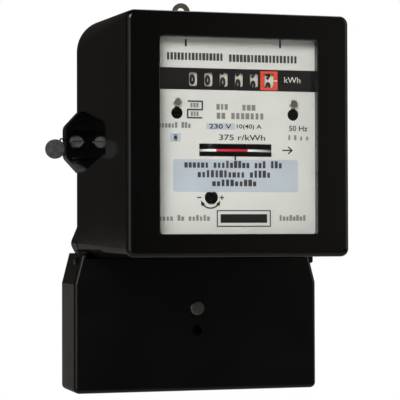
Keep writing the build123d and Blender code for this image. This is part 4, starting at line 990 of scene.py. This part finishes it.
@dataclass
class NumberDrums:
    """The ten numerals round each drum, wrapped on its rim."""

    radius: float = 10.0
    axis: Point = (-91.4, DRUM_Z)
    xs: tuple[float, ...] = DRUM_XS
    roll_deg: tuple[float, ...] = (0.0, 1.5, 7.0, 11.5, 15.0, 18.5)
    numeral: Point = (2.9, 5.5)
    bold: float = 0.09
    foil: float = 0.04
    digits: int = 10
    slices: int = 10

    def build(self) -> None:
        """Number every drum."""
        for number, (x, roll) in enumerate(zip(self.xs, self.roll_deg), 1):
            mesh = self.numerals(x, roll)
            body = f"number_drum_{number}"
            new_piece(f"numerals_{number}", mesh, Finishes.NUMERAL, body)

    def numerals(self, x: float, roll: float) -> bpy.types.Mesh:
        """Wrap the digits 0 to 9 round one drum.

        Args:
            x: the drum's middle in millimetres.
            roll: how far its zero stands below the window's middle, in degrees.

        Returns:
            One mesh of all ten digits.
        """
        ring = bmesh.new()
        reach = (self.radius + self.foil) * MM
        for digit in range(self.digits):
            flat = glyph_mesh(str(digit), *self.numeral, self.bold)
            shape = bmesh.new()
            shape.from_mesh(flat)
            bpy.data.meshes.remove(flat)
            self.slice_level(shape)
            middle = -math.radians(roll + 360 / self.digits * digit)
            for vertex in shape.verts:
                angle = middle + vertex.co.y / (self.radius * MM)
                vertex.co = (
                    x * MM + vertex.co.x,
                    self.axis[0] * MM - reach * math.cos(angle),
                    self.axis[1] * MM + reach * math.sin(angle),
                )
            part = bpy.data.meshes.new("digit")
            shape.to_mesh(part)
            shape.free()
            ring.from_mesh(part)
            bpy.data.meshes.remove(part)
        mesh = bpy.data.meshes.new("numerals")
        ring.to_mesh(mesh)
        ring.free()
        return mesh

    def slice_level(self, shape: bmesh.types.BMesh) -> None:
        """Cut a flat digit into level strips, so that it bends round the rim."""
        height = self.numeral[1] * MM
        for i in range(1, self.slices):
            level = -height / 2 + height * i / self.slices
            bmesh.ops.bisect_plane(
                shape,
                geom=shape.verts[:] + shape.edges[:] + shape.faces[:],
                plane_co=(0, level, 0),
                plane_no=(0, 1, 0),
            )


@dataclass
class Case:
    """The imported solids, each dressed in its own finish."""

    glass: str = "window_glass"
    own_finishes: tuple[tuple[str, Finishes], ...] = (
        # The adjuster behind the dial's hole takes brass painted near black: painted shade
        ("fine_adjuster", Finishes.DARK_BRASS),
        ("hanging_lug", Finishes.AGED_ZINC),
        ("lug_rivets", Finishes.AGED_ZINC),
        # The ear and terminal cover screws take nickel steel painted darker: painted shade
        ("cover_screws", Finishes.GREY_STEEL),
        ("terminal_cover_screw", Finishes.GREY_STEEL),
    )

    def build(self) -> None:
        """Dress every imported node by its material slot."""
        for row in frame["record"]["subparts"]:
            node = frame["nodes"][row["node"]]
            paint(node, SLOT_FINISHES[row["material_slot"]])
        for name, finish in self.own_finishes:
            paint(frame["nodes"][name], finish)
        # Light reaches the dial straight through the pane
        frame["nodes"][self.glass].visible_shadow = False


@dataclass
class Softbox:
    """One rectangular studio light."""

    name: str
    place: Place
    size: Point
    power: float

    def hang(self, target: Place) -> None:
        """Hang the light and aim it at a point."""
        lamp = bpy.data.lights.new(self.name, "AREA")
        lamp.shape = "RECTANGLE"
        lamp.size, lamp.size_y = self.size
        lamp.energy = self.power
        holder = bpy.data.objects.new(self.name, lamp)
        holder.location = self.place
        aim = Vector(target) - Vector(self.place)
        holder.rotation_euler = aim.to_track_quat("-Z", "Y").to_euler()
        bpy.context.scene.collection.objects.link(holder)


@dataclass
class Studio:
    """Floor, lights, surroundings and the camera of the photo."""

    floor_drop: float = 0.26
    floor_radius: float = 1.6
    floor_thickness: float = 0.02
    floor_segments: int = 96
    light_target: Place = (0.0, -0.06, -0.10)
    wall_colour: str = "#FFF7EF"
    backdrop_colour: str = "#FFFFFF"
    camera_place: Place = (-0.25485, -0.92031, -0.12522)
    camera_right: Place = (0.96070, -0.27757, -0.00260)
    camera_up: Place = (-0.00317, -0.02035, 0.99979)
    camera_ahead: Place = (0.27756, 0.96049, 0.02043)
    lens_mm: float = 153.0
    sensor_mm: float = 36.0
    camera_range: Point = (0.01, 20.0)

    def build(self) -> None:
        """Set up the studio."""
        self.lay_floor()
        self.hang_lights()
        self.surround()
        self.place_camera()

    def lay_floor(self) -> None:
        """Lay a round pale board well below the hung meter."""
        shape = bmesh.new()
        level = cad_bounds[0].z - self.floor_drop - self.floor_thickness / 2
        bmesh.ops.create_cone(
            shape,
            cap_ends=True,
            segments=self.floor_segments,
            radius1=self.floor_radius,
            radius2=self.floor_radius,
            depth=self.floor_thickness,
            matrix=Matrix.Translation((0, 0, level)),
        )
        mesh = bpy.data.meshes.new("studio_floor")
        shape.to_mesh(mesh)
        shape.free()
        floor = bpy.data.objects.new("studio_floor", mesh)
        bpy.context.scene.collection.objects.link(floor)
        paint(floor, Finishes.FLOOR)
        # The polished case mirrors the dim walls of the studio, not the board under it
        floor.visible_glossy = False

    def hang_lights(self) -> None:
        """Hang the softboxes round the meter, clear of what its front faces mirror."""
        for light in (
            Softbox("front_key", (-0.8, -1.5, 0.6), (1.1, 0.55), 14.5),
            Softbox("front_fill", (-1.1, -1.4, -0.1), (1.3, 1.1), 3.0),
            Softbox("left_fill", (-1.5, -0.6, 0.3), (1.6, 1.6), 2.0),
            Softbox("right_fill", (1.4, -0.7, 0.3), (1.2, 1.2), 2.5),
            Softbox("back_top", (0.1, 0.9, 1.2), (1.2, 0.6), 5.0),
        ):
            light.hang(self.light_target)

    def surround(self) -> None:
        """Show a white backdrop to the camera and keep dim walls for the gloss to mirror."""
        world = bpy.data.worlds.new("studio_surroundings")
        bpy.context.scene.world = world
        world.use_nodes = True
        tree = world.node_tree
        tree.nodes.clear()
        inputs = {"Color": linear(self.wall_colour), "Strength": self.wall_light(tree)}
        walls = add_node(tree, "ShaderNodeBackground", inputs)
        inputs = {"Color": linear(self.backdrop_colour), "Strength": 1.0}
        white = add_node(tree, "ShaderNodeBackground", inputs)
        ray = add_node(tree, "ShaderNodeLightPath")
        inputs = {0: ray.outputs["Is Camera Ray"], 1: walls.outputs[0], 2: white.outputs[0]}
        mix = add_node(tree, "ShaderNodeMixShader", inputs)
        add_node(tree, "ShaderNodeOutputWorld", {"Surface": mix.outputs[0]})
        # White stays white, as in the photo
        bpy.context.scene.view_settings.view_transform = "Standard"

    def wall_light(self, tree: bpy.types.NodeTree) -> bpy.types.NodeSocket:
        """Work out how bright the studio is in each direction.

        Args:
            tree: the world's node tree.

        Returns:
            The output that gives the strength.
        """
        place = add_node(tree, "ShaderNodeTexCoord")
        ahead = add_node(tree, "ShaderNodeSeparateXYZ", {0: place.outputs["Generated"]}).outputs
        # The hood's front mirrors a soft glow on the right, dimmer below the horizon
        aside = ramp(tree, ahead["X"], 0.23, 0.40, 0.02, 0.19)
        above = ramp(tree, ahead["Z"], -0.06, 0.0, 0.15, 1.0)
        front = maths(tree, "MULTIPLY", aside, above)
        # The side walls mirror what stands behind the meter, lighter below the horizon
        behind = ramp(tree, ahead["Y"], 0.5, 0.9, 0.0, 1.0)
        low_wall = ramp(tree, ahead["Z"], -0.004, -0.012, 0.012, 0.13)
        sides = maths(tree, "MULTIPLY_ADD", behind, low_wall, front)
        # Undersides mirror the pale ground
        ground = ramp(tree, ahead["Z"], -0.2, -0.6, 0.0, 0.3)
        return maths(tree, "ADD", sides, ground)

    def place_camera(self) -> None:
        """Stand the camera where the photo was taken."""
        lens = bpy.data.cameras.new("photo_camera")
        lens.lens = self.lens_mm
        lens.sensor_width = self.sensor_mm
        lens.clip_start, lens.clip_end = self.camera_range
        camera = bpy.data.objects.new("photo_camera", lens)
        back = -Vector(self.camera_ahead)
        axes = Matrix((Vector(self.camera_right), Vector(self.camera_up), back))
        turn = axes.transposed().to_4x4()
        camera.matrix_world = Matrix.Translation(self.camera_place) @ turn
        bpy.context.scene.collection.objects.link(camera)
        bpy.context.scene.camera = camera


def main() -> None:
    """Build the meter's pieces and its studio in order."""
    logging.basicConfig(level=logging.INFO, format="%(name)s: %(message)s")
    for part in (Case(), Dial(), NumberDrums(), Studio()):
        part.build()
        log.info("built %s", type(part).__name__)


if __name__ == "__main__":
    main()
